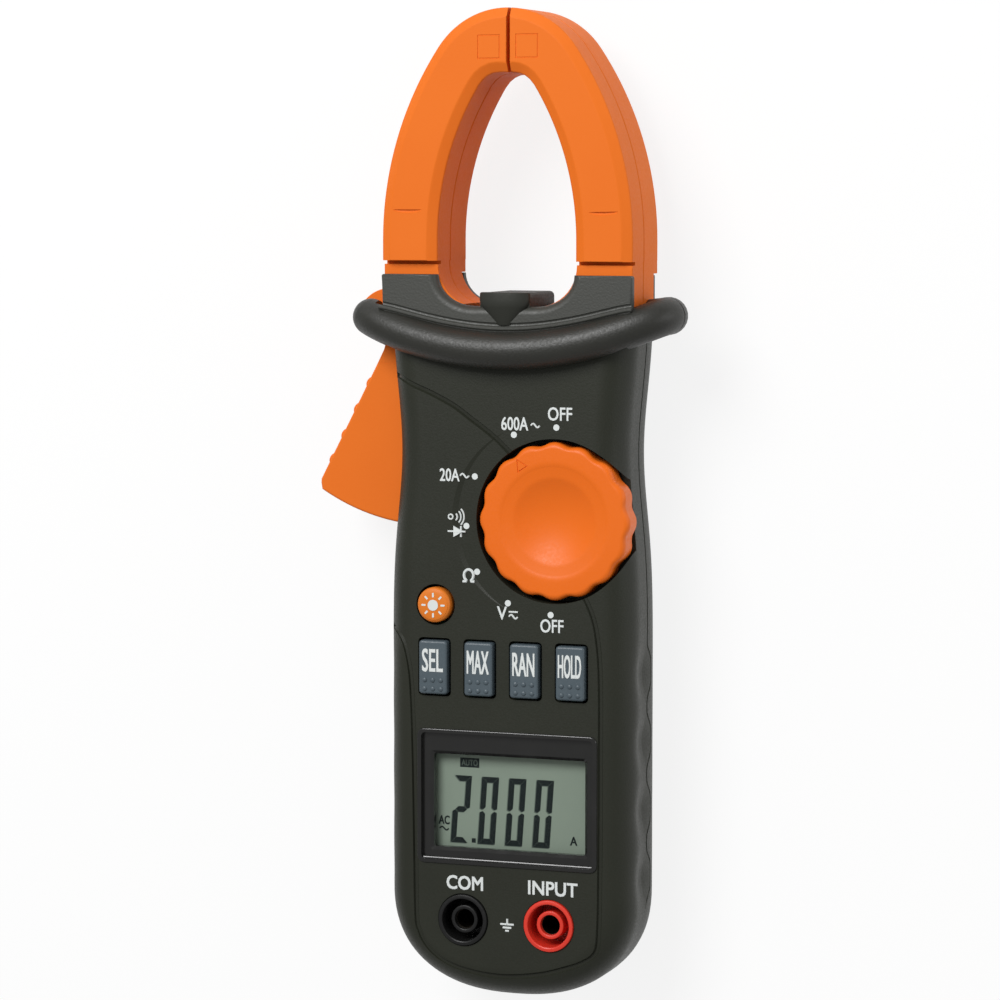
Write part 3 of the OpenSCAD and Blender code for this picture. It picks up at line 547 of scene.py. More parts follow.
# Jaw stop: the dark boss at the foot of the jaw window that the jaw roots close against.
# A deep bar of dark plastic, moulded with the case, whose flared, rounded face tapers to a point in the
# notch of the cover.
STOP_Y, STOP_Z, STOP_HALF = 43, 29.3, 5.4
STOP_R, STOP_POINT_R, STOP_LENGTH, STOP_RIM = 5.5, 1.45, 4.3, 2.4
STOP_FLATNESS, STOP_SLOPE = 0.4, 0.1
bm = post(0, 0, STOP_R, 0, STOP_LENGTH, 96, top=STOP_POINT_R)
rim = [f for f in bm.faces if all(v.co.z < NEAR for v in f.verts)]
raised = bmesh.ops.extrude_face_region(bm, geom=rim)["geom"]
bmesh.ops.translate(bm, vec=(0, 0, -STOP_RIM), verts=points_of(raised))
bmesh.ops.delete(bm, geom=rim, context="FACES_ONLY")
bmesh.ops.recalc_face_normals(bm, faces=bm.faces)
rounded(bm, 0.9, 4, at_height(0))
rounded(bm, 0.35, 3, at_height(-STOP_RIM))
swung(bm, 90, "X")
for vert in bm.verts:
    vert.co.z = vert.co.z * STOP_FLATNESS + STOP_Z + STOP_SLOPE * (STOP_RIM - vert.co.y)
jaw_stop = as_object(moved(bm, (0, STOP_Y, 0)), "jaw_stop_boss")
stop_end = STOP_Y + STOP_RIM - 0.03
shaped(jaw_stop, "UNION", block((-STOP_HALF, 38, BACK_TOP), (STOP_HALF, stop_end, STOP_Z + 0.3), 1))
stop_grey = moulded("stop_grey", tone(52, 53, 48), tone(45, 46, 42), 0.5, 1800, 0.03, shine=0.15)
finished(jaw_stop, stop_grey, "housing", "guard_grey", "jaw_stop", sharp=40)

# Jaws: two hollow orange mouldings, each a front and a rear shell glued round its core and winding.
# Broad bevels run round their faces, and the split at the tips closes the magnetic loop. The head plates
# hold the right one, and the left one turns on a pin between them.
JAW_OUT, JAW_IN = 27.4, 15.15
ARCH_Y, ARCH_OUT, ARCH_IN = 56, 70, 60.15
TIP_Y, UNDER_Y = 85.6, 90.5
TIP_R = ARCH_OUT - math.hypot(ARCH_OUT - JAW_OUT, TIP_Y - ARCH_Y)
TIP_TURN = math.degrees(math.atan2(TIP_Y - ARCH_Y, ARCH_OUT - JAW_OUT))
JAW_BASE = 51.8
JAW_FACE, JAW_SEAM, JAW_BACK = 30, 21.25, 10.6
CHAMFER, CHAMFER_SHARE, EASED = 2, 0.6, 0.3
FIXED_END, MOVING_END = -1.15, 0.45
ROOT_OUT, ROOT_TOP, ROOT_FOOT = 27.3, 52.3, 38
ROOT_GAP, ROOT_PLAY = 0.02, 0.4
BOWL_X, BOWL_Y, BOWL_R = 6.75, 51, 8.5
FIXED_TOE, MOVING_TOE = 8.4, (-9.4, 38.6)
LEG_SLOT_Y, LEG_SLOT_TOP = 51.05, 32
FILLER_IN, FILLER_Y, FILLER_LOW, FILLER_TOP = 15.3, 49.15, 11.8, 15
PIVOT, KNUCKLE_R, PIN_HOLE_R = Vector((-20, 42)), 7.2, 2.55
SPRING_ROOM_R, SPRING_FLOOR = 4.9, 21.8
CORNERS = ((-1, -1), (1, -1), (1, 1), (-1, 1))
jaw_orange = moulded("jaw_orange", tone(230, 116, 37), tone(225, 109, 32), 0.55, 1800, 0.03, shine=0.12)


def jaw_outline(end):
    """Left jaw seen from the front, from its base to its flat end."""
    inner_x, outer_x = ARCH_IN - JAW_IN, ARCH_OUT - JAW_OUT
    under = math.degrees(math.asin((UNDER_Y - ARCH_Y) / ARCH_IN))
    inner = [(-JAW_IN, JAW_BASE)] + arc(inner_x, ARCH_Y, -ARCH_IN, ARCH_IN, 0, under - 3, 24)
    foot = Vector(inner[-1])
    corner = Vector((inner_x - ARCH_IN * math.cos(math.radians(under)), UNDER_Y))
    beyond = corner + Vector((2.8, 0))
    bend = [foot.lerp(corner, t).lerp(corner.lerp(beyond, t), t) for t in (0.25, 0.5, 0.75, 1)]
    inner += [tuple(p) for p in bend] + [(end, UNDER_Y)]
    top = math.degrees(math.acos(-end / TIP_R))
    cap = arc(0, TIP_Y, -TIP_R, TIP_R, top, TIP_TURN, 14)
    outer = cap + arc(outer_x, ARCH_Y, -ARCH_OUT, ARCH_OUT, TIP_TURN, 0, 20)[1:]
    return inner + outer + [(-JAW_OUT, JAW_BASE)]


def jaw_half(end, face, side):
    """Half of a jaw with its face chamfered and a fine parting edge at the seam; side -1 is the left jaw."""
    def chamfered(e):
        """Picks the edges of the face, other than those at the jaw's two ends."""
        flat_end = any(all(abs(v.co[axis] - place) < NEAR for v in e.verts)
                       for axis, place in ((0, end), (1, JAW_BASE)))
        return at_height(face)(e) and not flat_end

    bm = slab(jaw_outline(end), min(JAW_SEAM, face), max(JAW_SEAM, face))
    rounded(bm, EASED, 1, at_height(JAW_SEAM))
    rounded(bm, CHAMFER, 1, chamfered)
    step = math.copysign(CHAMFER, JAW_SEAM - face)
    for vert in bm.verts:
        if abs(vert.co.z - face - step) < NEAR:
            vert.co.z -= step * (1 - CHAMFER_SHARE)
    for height in (face, face + step * CHAMFER_SHARE):
        rounded(bm, EASED, 2, at_height(height))
    if side > 0:
        bmesh.ops.scale(bm, vec=(-1, 1, 1), verts=bm.verts)
        bmesh.ops.reverse_faces(bm, faces=bm.faces)
    return bm


def root(points, low, high):
    """Plain foot of a jaw, or the trigger's lever, with its edges eased."""
    return rounded(slab(points, low, high), EASED, 2, at_height(low, high))


def leg_slot(left, right, floor):
    """Narrow slot under a jaw's leg."""
    return block((left, LEG_SLOT_Y, floor), (right, JAW_BASE, LEG_SLOT_TOP))


def lens_line(x, y, turn):
    """Slim hollow across a jaw's leg, straight above and bowed below."""
    bm = cut_off(ball(1, 32, 16, squash=(3.2, 0.8, 0.5)), (0, 0, 0), (0, 1, 0))
    return moved(swung(bm, turn, "Z"), (x, y, JAW_FACE + 0.06))


def square_frame(x, y):
    """Shallow square outline near a jaw's tip."""
    half = 2.35
    places = [(x + dx * half, y + dy * half, JAW_FACE + 0.04) for dx, dy in CORNERS]
    return tube(places, 0.2, closed=True, fine=1)


foot_turn = math.degrees(math.acos((FIXED_TOE - BOWL_X) / BOWL_R))
fixed_root = [(FIXED_TOE, ROOT_FOOT), (ROOT_OUT, ROOT_FOOT), (ROOT_OUT, ROOT_TOP),
              (BOWL_X + BOWL_R, ROOT_TOP)]
fixed_root += arc(BOWL_X, BOWL_Y, BOWL_R, BOWL_R, 0, -foot_turn, 10)
fixed_front = as_object(jaw_half(FIXED_END, JAW_FACE, 1), "fixed_jaw_face")
shaped(fixed_front, "UNION", root(fixed_root, JAW_SEAM + ROOT_GAP, COVER_LOW))
shaped(fixed_front, "DIFFERENCE", leg_slot(14, 30, 26.9), lens_line(21.5, 62, 1.3), square_frame(4.9, 95.8))
finished(fixed_front, jaw_orange, "housing", "jaw_orange", "fixed_jaw_front")
fixed_rear = as_object(jaw_half(FIXED_END, JAW_BACK, 1), "fixed_jaw_back")
filler = block((FILLER_IN, FILLER_Y, FILLER_LOW), (ROOT_OUT - ROOT_GAP, ROOT_TOP, FILLER_TOP))
shaped(fixed_rear, "UNION", root(fixed_root, BACK_TOP, JAW_SEAM - ROOT_GAP), filler)
finished(fixed_rear, jaw_orange, "housing", "jaw_orange", "fixed_jaw_rear")

toe_turn = math.degrees(math.asin((PIVOT.y - MOVING_TOE[1]) / KNUCKLE_R))
toe_foot = math.degrees(math.acos((-MOVING_TOE[0] - BOWL_X) / BOWL_R))
moving_root = [(-ROOT_OUT, ROOT_TOP), (-ROOT_OUT, PIVOT.y)]
moving_root += arc(*PIVOT, KNUCKLE_R, KNUCKLE_R, 180, 360 - toe_turn, 24)[1:] + [MOVING_TOE]
moving_root += arc(-BOWL_X, BOWL_Y, BOWL_R, BOWL_R, 180 + toe_foot, 180, 10) + [(-BOWL_X - BOWL_R, ROOT_TOP)]
moving_front = as_object(jaw_half(MOVING_END, JAW_FACE, -1), "moving_jaw_face")
shaped(moving_front, "UNION", root(moving_root, JAW_SEAM + ROOT_GAP, COVER_LOW - ROOT_PLAY))
shaped(moving_front, "DIFFERENCE", post(*PIVOT, SPRING_ROOM_R, SPRING_FLOOR, CUT_HIGH),
       post(*PIVOT, PIN_HOLE_R, 10, CUT_HIGH), leg_slot(-30, -14, 26.5), lens_line(-21.4, 62.4, 0),
       square_frame(-3.4, 95.7))
finished(moving_front, jaw_orange, "moving_jaw", "jaw_orange", "moving_jaw_front")

# Trigger: one orange moulding with the rear shell of the moving jaw. A lever runs down from the pivot into
# a ridged thumb plate that swings into the case through a slot in its side.
EDGE_TOP, EDGE_LOW = Vector((-30.4, 32.8)), Vector((-44.9, 5))
TRIGGER_R = 46.4
PLATE_LOW, PLATE_TOP, PLATE_END = 9, 21, 29.9
LEVER_LOW, LEVER_TOP = 14.46, 20.94
RIDGE_R, RIDGE_LOW, RIDGE_TOP = 1.7, 9.8, 20.3
TRIGGER_EDGE = 0.6
low_turn = math.degrees(math.atan2(2.9 - PIVOT.y, -44.6 - PIVOT.x))
inner_turn = math.degrees(math.atan2(-4.1 - PIVOT.y, -25.6 - PIVOT.x))
plate = [tuple(EDGE_TOP), tuple(EDGE_LOW), (-44.95, 4.2)]
plate += arc(*PIVOT, TRIGGER_R, TRIGGER_R, low_turn, inner_turn, 20)
plate += [(-19.47, 30.4)]
thumb_plate = cut_off(slab(plate, PLATE_LOW, PLATE_TOP), (0, PLATE_END, 0), (0, 1, 0))
rounded(thumb_plate, TRIGGER_EDGE, 3, at_height(PLATE_LOW, PLATE_TOP, below_y=PLATE_END))
lever = [(-19.5, 29.7), (-15.7, 36.2), tuple(PIVOT)] + arc(-28.9, 38, 7.8, 7.8, 70, 169, 16)
lever += [(-29, 39.4), (-28.95, 38), tuple(EDGE_TOP), (-31.95, 29.7)]
moving_rear = as_object(jaw_half(MOVING_END, JAW_BACK, -1), "moving_jaw_back")
filler = block((-18.6, FILLER_Y, FILLER_LOW), (-FILLER_IN, ROOT_TOP, FILLER_TOP))
shaped(moving_rear, "UNION", root(moving_root, BACK_TOP + ROOT_PLAY, JAW_SEAM - ROOT_GAP),
       root(lever, LEVER_LOW, LEVER_TOP), thumb_plate, filler)
ridges = []
for share in (0.26, 0.46, 0.66, 0.85):
    x, y = EDGE_TOP.lerp(EDGE_LOW, share)
    ridge = post(x + 1.05, y - 0.3, RIDGE_R, RIDGE_LOW, RIDGE_TOP, 32)
    ridges.append(rounded(ridge, TRIGGER_EDGE, 3, at_height(RIDGE_LOW, RIDGE_TOP)))
shaped(moving_rear, "UNION", *ridges)
shaped(moving_rear, "DIFFERENCE", post(*PIVOT, PIN_HOLE_R, 5, CUT_HIGH))
finished(moving_rear, jaw_orange, "moving_jaw", "jaw_orange", "moving_jaw_rear")

# Selector knob: a scalloped orange disc, level with the panel, with a dished top for the thumb.
# Moulded in one piece with an engraved pointer, pressed on the rotor's shaft.
KNOB_R, KNOB_LOW, KNOB_TOP, KNOB_EDGE = 16.45, 23.6, 29.3, 1.3
DISH_R, DISH_DEPTH, DISH_RISE, DISH_STEPS = 8.6, 2.5, 1.75, 14
DISH_LIP = [(8.9, 0.64), (9.2, 0.56), (9.6, 0.49), (11.2, 0.24), (11.5, 0.15), (11.8, 0.07), (12.2, 0.02),
            (12.7, 0)]
SHAFT_R, SHAFT_TOP = 5.0, 26.4
SCALLOPS, SCALLOP_FROM, SCALLOP_SHARE = 16, 13.5, 0.042
POINTER, POINTER_TURN = ((0, 15), (-1.15, 12.7), (1.15, 12.7)), 32


def turned(profile, steps, closed=False):
    """Piece turned about an upright axis through the origin."""
    bm = bmesh.new()
    line = [bm.verts.new((r, 0, z)) for r, z in profile]
    pairs = list(zip(line, line[1:])) + ([(line[-1], line[0])] if closed else [])
    edges = [bm.edges.new(pair) for pair in pairs]
    bmesh.ops.spin(bm, geom=line + edges, cent=(0, 0, 0), axis=(0, 0, 1), angle=math.tau, steps=steps,
                   use_merge=True)
    bmesh.ops.remove_doubles(bm, verts=bm.verts, dist=0.001)
    bmesh.ops.recalc_face_normals(bm, faces=bm.faces)
    return bm


knob_orange = moulded("knob_orange", tone(234, 112, 26), tone(228, 104, 22), 0.42, 1600, 0.02, shine=0.25)
profile = []
for i in range(DISH_STEPS + 1):
    share = i / DISH_STEPS
    profile.append((DISH_R * i / DISH_STEPS, KNOB_TOP - DISH_DEPTH + DISH_RISE * share ** 2))
profile += [(r, KNOB_TOP - fall) for r, fall in DISH_LIP]
edge_r, edge_z = KNOB_R - KNOB_EDGE, KNOB_TOP - KNOB_EDGE
profile += [(edge_r, KNOB_TOP)]
for turn in range(15, 91, 15):
    profile.append((edge_r + KNOB_EDGE * math.sin(math.radians(turn)),
                    edge_z + KNOB_EDGE * math.cos(math.radians(turn))))
profile += [(KNOB_R, 24.2), (15.9, KNOB_LOW), (SHAFT_R, KNOB_LOW), (SHAFT_R, SHAFT_TOP), (0, SHAFT_TOP)]
bm = turned(profile, 192)
for vert in bm.verts:
    reach = math.hypot(vert.co.x, vert.co.y)
    if reach > SCALLOP_FROM:
        wave = 0.5 - 0.5 * math.cos(SCALLOPS * math.atan2(vert.co.y, vert.co.x))
        draw = 1 - SCALLOP_SHARE * wave ** 1.3 * (reach - SCALLOP_FROM) / (KNOB_R - SCALLOP_FROM)
        vert.co.x *= draw
        vert.co.y *= draw
selector_knob = as_object(moved(bm, (*KNOB, 0)), "knob")
aim = Matrix.Rotation(math.radians(POINTER_TURN), 3, "Z")
corners = [aim @ Vector((x, y, KNOB_TOP + 0.04)) + Vector((*KNOB, 0)) for x, y in POINTER]
shaped(selector_knob, "DIFFERENCE", tube(corners, 0.24, closed=True, fine=1))
finished(selector_knob, knob_orange, "selector", "knob_orange", "selector_knob")

# Push buttons: four satin rubber-feel caps in their own wells, each with a printed word and six grip pips.
# They stand a little proud of the panel and press on switches below.
KEY_FOOT, KEY_TOP = 25.4, 30.2
PIP_R, PIP_COLUMNS, PIP_ROWS = 0.54, (-1.8, 0, 1.8), (-2.65, -4.5)
KEY_WORD_Y, KEY_WORD_HEIGHT = 1.5, 4.9
key_blue = moulded("key_blue", tone(79, 91, 98), tone(67, 79, 86), 0.42, 2400, 0.02)
ink_white = moulded("ink_white", tone(222, 226, 224), tone(208, 213, 212), 0.6, 3000, 0.01)


def lettering(word, x, y, z, width, height, bold=0.045, thick=0.16):
    """Printed word, centred on a place and fitted to a width and a height; bold widens its strokes."""
    curve = bpy.data.curves.new("word", "FONT")
    curve.body = word
    curve.size = height * 1.4
    curve.extrude = thick / 2
    curve.resolution_u = 3
    bm = meshed(curve)
    xs, ys = [v.co.x for v in bm.verts], [v.co.y for v in bm.verts]
    moved(bm, -Vector(((min(xs) + max(xs)) / 2, (min(ys) + max(ys)) / 2, 0)))
    fit = ((width - 2 * bold) / (max(xs) - min(xs)), (height - 2 * bold) / (max(ys) - min(ys)), 1)
    bmesh.ops.scale(bm, vec=fit, verts=bm.verts)
    moved(bm, (x, y, z))
    thin = all_of(bm)
    for i, (dx, dy) in enumerate(CORNERS):
        copy = bmesh.ops.duplicate(bm, geom=thin)["geom"]
        bmesh.ops.translate(bm, vec=(dx * bold, dy * bold, 0.008 * (i + 1)), verts=points_of(copy))
    return bm


def gathered(name, parts):
    """One piece from several meshes."""
    whole = bmesh.new()
    for part in parts:
        mesh = bpy.data.meshes.new("part")
        part.to_mesh(mesh)
        part.free()
        whole.from_mesh(mesh)
        bpy.data.meshes.remove(mesh)
    return as_object(whole, name)


def key_cap(x, name, word, width, body):
    """One cap, its pips and its word."""
    bm = plate_at((x, KEY_Y), KEY_SIZE, KEY_FOOT, KEY_TOP, 0.7, 4)
    cap = as_object(rounded(bm, 0.55, 3, at_height(KEY_TOP)), name)
    pips = [moved(ball(PIP_R, 16, 10, squash=(1, 1, 0.6)), (x + column, KEY_Y + row, KEY_TOP))
            for column in PIP_COLUMNS for row in PIP_ROWS]
    shaped(cap, "UNION", *pips)
    finished(cap, key_blue, body, "key_blue", body)
    bm = lettering(word, x, KEY_Y + KEY_WORD_Y, KEY_TOP, width, KEY_WORD_HEIGHT, 0.07)
    finished(as_object(bm, name + "_word"), ink_white, body, "key_blue", even=False)


key_cap(KEY_X[0], "select_cap", "SEL", 4.7, "select_button")
key_cap(KEY_X[1], "max_cap", "MAX", 4.9, "max_button")
key_cap(KEY_X[2], "range_cap", "RAN", 4.9, "range_button")
key_cap(KEY_X[3], "hold_cap", "HOLD", 5.1, "hold_button")

# Backlight button: a round orange cap with a slightly domed top and a printed sun.
# Moulded in plastic; it slides in its own hole in the panel and presses on a switch below.
LAMP_R, LAMP_TOP, LAMP_CROWN = 3.7, 30.6, 0.3
SUN_R, RAY_IN, RAY_OUT, RAY_HALF, RAYS = 1.15, 1.65, 2.6, 0.2, 8
lamp_edge = LAMP_TOP - LAMP_CROWN
bm = rounded(post(*LAMP_KEY, LAMP_R, KEY_FOOT, lamp_edge), 0.7, 4, at_height(lamp_edge))
crown = moved(ball(1, 64, 32, squash=(3.2, 3.2, LAMP_CROWN)), (*LAMP_KEY, lamp_edge - 0.01))
lamp_cap = shaped(as_object(bm, "lamp_cap"), "UNION", crown)
lamp_orange = moulded("lamp_orange", tone(222, 124, 40), tone(214, 115, 34), 0.42, 1600, 0.02, shine=0.25)
finished(lamp_cap, lamp_orange, "backlight_button", "knob_orange", "backlight_button")
sun = [post(*LAMP_KEY, SUN_R, LAMP_TOP - 0.1, LAMP_TOP + 0.06, 40)]
for i in range(RAYS):
    ray_top = LAMP_TOP - 0.02 - 0.04 * (i % 2)
    ray = block((RAY_IN, -RAY_HALF, LAMP_TOP - 0.35), (RAY_OUT, RAY_HALF, ray_top), 0.15)
    sun.append(moved(swung(ray, 360 / RAYS * i, "Z"), (*LAMP_KEY, 0)))
finished(gathered("lamp_sun", sun), ink_white, "backlight_button", "knob_orange", even=False)

# Dial marks: words, figures, symbols and dots round the knob, and the names of the two sockets.
# Printed in white ink on the grey panel, and following the shallow dip round the knob.
DOTS = [(11.1, 17.7), (1.8, 16), (-6.9, 7.1), (-8.8, -3.3), (-6.4, -12.8), (0.5, -19.1), (9.9, -21.2)]
# Word, its middle, and its width and height.
DIAL_WORDS = [("OFF", 11.9, 20.5, 5.3, 2.8), ("600A", 2.0, 18.3, 5.9, 2.8), ("20A", -12.4, 7.3, 4.4, 2.7),
              ("OFF", 10.2, -23.5, 5.1, 2.8), ("V", -0.8, -21.2, 2.2, 2.8)]
SOCKET_WORDS = [("COM", -9.1, -78.6, 8.2, 3), ("INPUT", 10.45, -78.6, 10.9, 3)]
WAVES = [(6.5, 18.0), (-9.1, 7.2), (1.7, -21.9)]
DIRECT = (1.7, -20.9)
EARTH_X, EARTH_Y = 0.35, -86.8
OHM = (-8.2, -13.7)
BEEP_Y, BEEP_WAVES_X, BEEP_X = -1.45, -11.7, -12.2
DIODE = (-10.9, -4.5)
FINE_STROKE, THIN_STROKE, STROKE = 0.36, 0.4, 0.45


def stroke(points, width, x, y):
    """Printed line of even width."""
    return tube([(x + px, y + py, PANEL) for px, py in points], width / 2, fine=1)


def bar(half, width, x, y):
    """Printed level bar."""
    return stroke([(-half, 0), (half, 0)], width, x, y)


marks = [post(x, y, 0.66, PANEL - 0.1, PANEL + 0.08, 32) for x, y in DOTS]
marks += [lettering(word, x, y, PANEL, width, height) for word, x, y, width, height in DIAL_WORDS]
marks += [lettering(word, x, y, PANEL, width, height, 0.08) for word, x, y, width, height in SOCKET_WORDS]
swing = [(0.95 * (i / 6 - 1), 0.4 * math.sin(math.pi * i / 6)) for i in range(13)]
marks += [stroke(swing, THIN_STROKE, x, y) for x, y in WAVES]
marks += [bar(1, THIN_STROKE, *DIRECT)]
marks += [stroke([(0, 0), (0, 1.2)], STROKE, EARTH_X, EARTH_Y)]
for half, fall in ((1.5, 0), (0.95, 0.7), (0.4, 1.35)):
    marks.append(bar(half, STROKE, EARTH_X, EARTH_Y - fall))
omega = [(-1.3, -1.2), (-0.6, -1.2)] + arc(0, 0.1, 1.05, 1.2, 240, -60, 20) + [(0.6, -1.2), (1.3, -1.2)]
marks += [stroke(omega, 0.62, *OHM)]
for radius in (0.95, 1.65, 2.35):
    marks.append(stroke(arc(0, 0, radius, radius, -45, 45, 8), FINE_STROKE, BEEP_WAVES_X, BEEP_Y))
marks += [stroke(arc(0, 0, 0.5, 0.5, 0, 360, 16), FINE_STROKE, BEEP_X, BEEP_Y)]
marks += [bar(1.95, THIN_STROKE, *DIODE), stroke([(0.85, -1.15), (0.85, 1.15)], STROKE, *DIODE)]
marks += [swung(post(*DIODE, 1.35, PANEL - 0.1, PANEL + 0.12, 3), -90, "Z", about=(*DIODE, 0))]
for mark in marks:
    sunk = [v.co.x < 0 and math.hypot(v.co.x - KNOB[0], v.co.y - KNOB[1]) < DIP_R - 0.5 for v in mark.verts]
    for vert in mark.verts:
        if all(sunk):
            vert.co.z += DIP_FALL * vert.co.x
        elif any(sunk) and vert.co.z < PANEL:
            vert.co.z = PANEL - 0.45
finished(gathered("dial_marks", marks), ink_white, "housing", "case_grey", even=False)

# Display bezel: a dark frame with a fine raised lip, a sill at its lower edge and a deep step to the glass.
# Moulded in polished plastic and let into its opening in the panel.
VIEW, VIEW_SIZE = (0.3, -61.5), (33.6, 19.8)
LIP, LIP_SIZE, LIP_RISE = (0.18, -60.45), (39.85, 28.6), 0.4
LIP_WIDTHS = (1.9, 1.7)
BEZEL_LOW, STEP_Z, VIEW_EDGE = 26.42, 28.3, 28
SILL = [(-74.2, 28), (-73.5, 28), (-73.5, 28.84), (-73.7, 28.95), (-74.2, 28.95)]
SILL_LEFT, SILL_RIGHT = -18.6, 19
bezel_black = moulded("bezel_black", tone(28, 28, 27), tone(23, 23, 22), 0.2, 300, 0.0005, coat=0.3)
bezel = as_object(plate_at(BEZEL, BEZEL_SIZE, BEZEL_LOW, PANEL + 0.1, 1.3), "bezel_frame")
lip = plate_at(LIP, LIP_SIZE, PANEL - 0.05, PANEL + LIP_RISE, 1.5)
shaped(bezel, "UNION", rounded(lip, 0.3, 3, at_height(PANEL + LIP_RISE)))
inside_lip = (LIP_SIZE[0] - LIP_WIDTHS[0], LIP_SIZE[1] - LIP_WIDTHS[1])
shaped(bezel, "DIFFERENCE", plate_at(LIP, inside_lip, STEP_Z, PANEL + 3, 0.9))
sill = slab(SILL, SILL_LEFT, SILL_RIGHT)
lengthwise = Matrix(((0, 0, 1), (1, 0, 0), (0, 1, 0)))
bmesh.ops.rotate(sill, cent=(0, 0, 0), matrix=lengthwise, verts=sill.verts)
shaped(bezel, "UNION", sill)
view_cut = plate_at(VIEW, VIEW_SIZE, CUT_LOW, VIEW_EDGE, 0.5)
chamfer = plate_at(VIEW, VIEW_SIZE, VIEW_EDGE - 0.25, VIEW_EDGE + 0.35, 0.5)
flare = [v for v in chamfer.verts if v.co.z > VIEW_EDGE]
about_view = Matrix.Translation((-VIEW[0], -VIEW[1], 0))
bmesh.ops.scale(chamfer, vec=(1.04, 1.071, 1), verts=flare, space=about_view)
shaped(bezel, "DIFFERENCE", view_cut, chamfer)
finished(bezel, bezel_black, "housing", "bezel_black", "display_bezel")

# Display: a grey-green liquid crystal panel of two glass plates, held over its backlight on the board.
# It shows dark figures, and beside each lies a faint painted shadow: a mid-tone copy of it, offset a little.
LCD_SIZE, LCD_LOW, LCD_TOP = (35.6, 23.8), 23.2, 25.12
LCD_SUNK, LCD_INK, LCD_SHADE = 0.02, 0.03, 0.01
FIGURE_X, FIGURE_Y, FIGURE_PITCH = -13.1, -70.25, 6.1
FIGURE_WIDTH, FIGURE_HEIGHT, FIGURE_LEAN = 2.6, 13.15, 0.07
SHADE_X, SHADE_Y = -13.3, -70.4
lcd_grey = moulded("lcd_grey", tone(148, 163, 147), tone(139, 154, 139), 0.5, 900, 0.004, drift=25)
# Mid tone for the figures' painted shadows, also the ink of the mode word.
lcd_painted_shade_and_print = moulded("lcd_painted_shade_and_print", tone(100, 112, 103), tone(92, 104, 96), 0.6, 900, 0.002, drift=25, shine=0.1)
lcd_dark = moulded("lcd_dark", tone(30, 38, 39), tone(22, 29, 30), 0.6, 2000, 0.002, shine=0.1)
bm = plate_at(VIEW, LCD_SIZE, LCD_LOW, LCD_TOP, 0.4)
lcd_glass = as_object(rounded(bm, 0.1, 1, at_height(LCD_TOP)), "lcd_glass")
finished(lcd_glass, lcd_grey, "housing", "lcd", "lcd_panel")


def figure(x, y, lit, thick):
    """Seven-bar figure with mitred bars; lit names them clockwise from the top, the middle one last."""
    half_bar, half, gap, width = 0.6, FIGURE_HEIGHT / 2, 0.03, FIGURE_WIDTH
    inner, outer = half_bar + gap, half_bar - gap
    top = [(-outer, half_bar), (width + outer, half_bar), (width - inner, -half_bar), (inner, -half_bar)]
    middle = [(gap, 0), (inner, half_bar), (width - inner, half_bar), (width - gap, 0),
              (width - inner, -half_bar), (inner, -half_bar)]
    side = [(-half_bar, half + outer), (-half_bar, half_bar / 2 + 0.1), (0, 0.14), (half_bar, half_bar + 0.1),
            (half_bar, half - inner)]
    places = {
        "a": (top, 1, 1, 0, FIGURE_HEIGHT), "b": (side, -1, 1, width, half),
        "c": (side, -1, -1, width, half), "d": (top, 1, -1, 0, 0), "e": (side, 1, -1, 0, half),
        "f": (side, 1, 1, 0, half), "g": (middle, 1, 1, 0, half),
    }
    bars = []
    for name in lit:
        shape, flip_x, flip_y, dx, dy = places[name]
        points = [(dx + flip_x * px, dy + flip_y * py) for px, py in shape]
        leant = [(x + px + FIGURE_LEAN * py, y + py) for px, py in points]
        bars.append(slab(leant, LCD_TOP - LCD_SUNK, LCD_TOP + thick))
    return bars


# Painted shadows: mid-tone copies of the figures, shifted a little left and down, stand for the shade each
# throws.
figures, shades = [], []
for place, lit in enumerate(("abged", "abcdef", "abcdef", "abcdef")):
    figures += figure(FIGURE_X + FIGURE_PITCH * place, FIGURE_Y, lit, LCD_INK)
    shades += figure(SHADE_X + FIGURE_PITCH * place, SHADE_Y, lit, LCD_SHADE)
finished(gathered("lcd_shades", shades), lcd_painted_shade_and_print, "housing", "lcd", even=False)
figures += [block((-9.0, -70.7, LCD_TOP - LCD_SUNK), (-8.1, -69.75, LCD_TOP + LCD_INK)),
            block((-11.6, -54.7, LCD_TOP - LCD_SUNK), (-7.3, -52.7, LCD_TOP + 0.02)),
            lettering("A", 13.7, -69, LCD_TOP, 1.6, 1.9, 0.05, 0.06),
            lettering("AC", -15.2, -66.2, LCD_TOP, 2.5, 1.9, 0.05, 0.06)]
ripple = [(-16.2 + 2 * i / 12, -68 + 0.35 * math.sin(math.tau * i / 12), LCD_TOP) for i in range(13)]
figures.append(tube(ripple, 0.16, fine=1))
finished(gathered("lcd_figures", figures), lcd_dark, "housing", "lcd", even=False)
mode_word = as_object(lettering("AUTO", -9.45, -53.7, LCD_TOP + 0.02, 3.6, 1.3, 0.02, 0.04), "lcd_mode")
finished(mode_word, lcd_painted_shade_and_print, "housing", "lcd", even=False)

# Display window: the clear pane that keeps dust and fingers off the glass.
# Moulded in clear plastic, faintly hazed, and laid in the case behind the bezel.
PANE_SIZE, PANE_LOW, PANE_TOP = (37.6, 27.0), 25.2, 26.4
clear = bpy.data.materials.new("window_clear")
clear.use_nodes = True
tree = clear.node_tree
shader = tree.nodes["Principled BSDF"]
shader.inputs["Base Color"].default_value = (0.03, 0.04, 0.035, 1)
shader.inputs["Alpha"].default_value = 0.08
haze = node(tree, "TexNoise", Scale=70)
veil = node(tree, "MapRange", To_Min=0.03, To_Max=0.09)
spot = node(tree, "TexCoord")
tree.links.new(spot.outputs["Object"], haze.inputs["Vector"])
tree.links.new(haze.outputs["Fac"], veil.inputs["Value"])
tree.links.new(veil.outputs["Result"], shader.inputs["Roughness"])
bm = plate_at(BEZEL, PANE_SIZE, PANE_LOW, PANE_TOP, 0.6)
window_pane = as_object(rounded(bm, 0.1, 1, at_height(PANE_TOP)), "window_pane")
finished(window_pane, clear, "housing", "window_clear", "display_window")

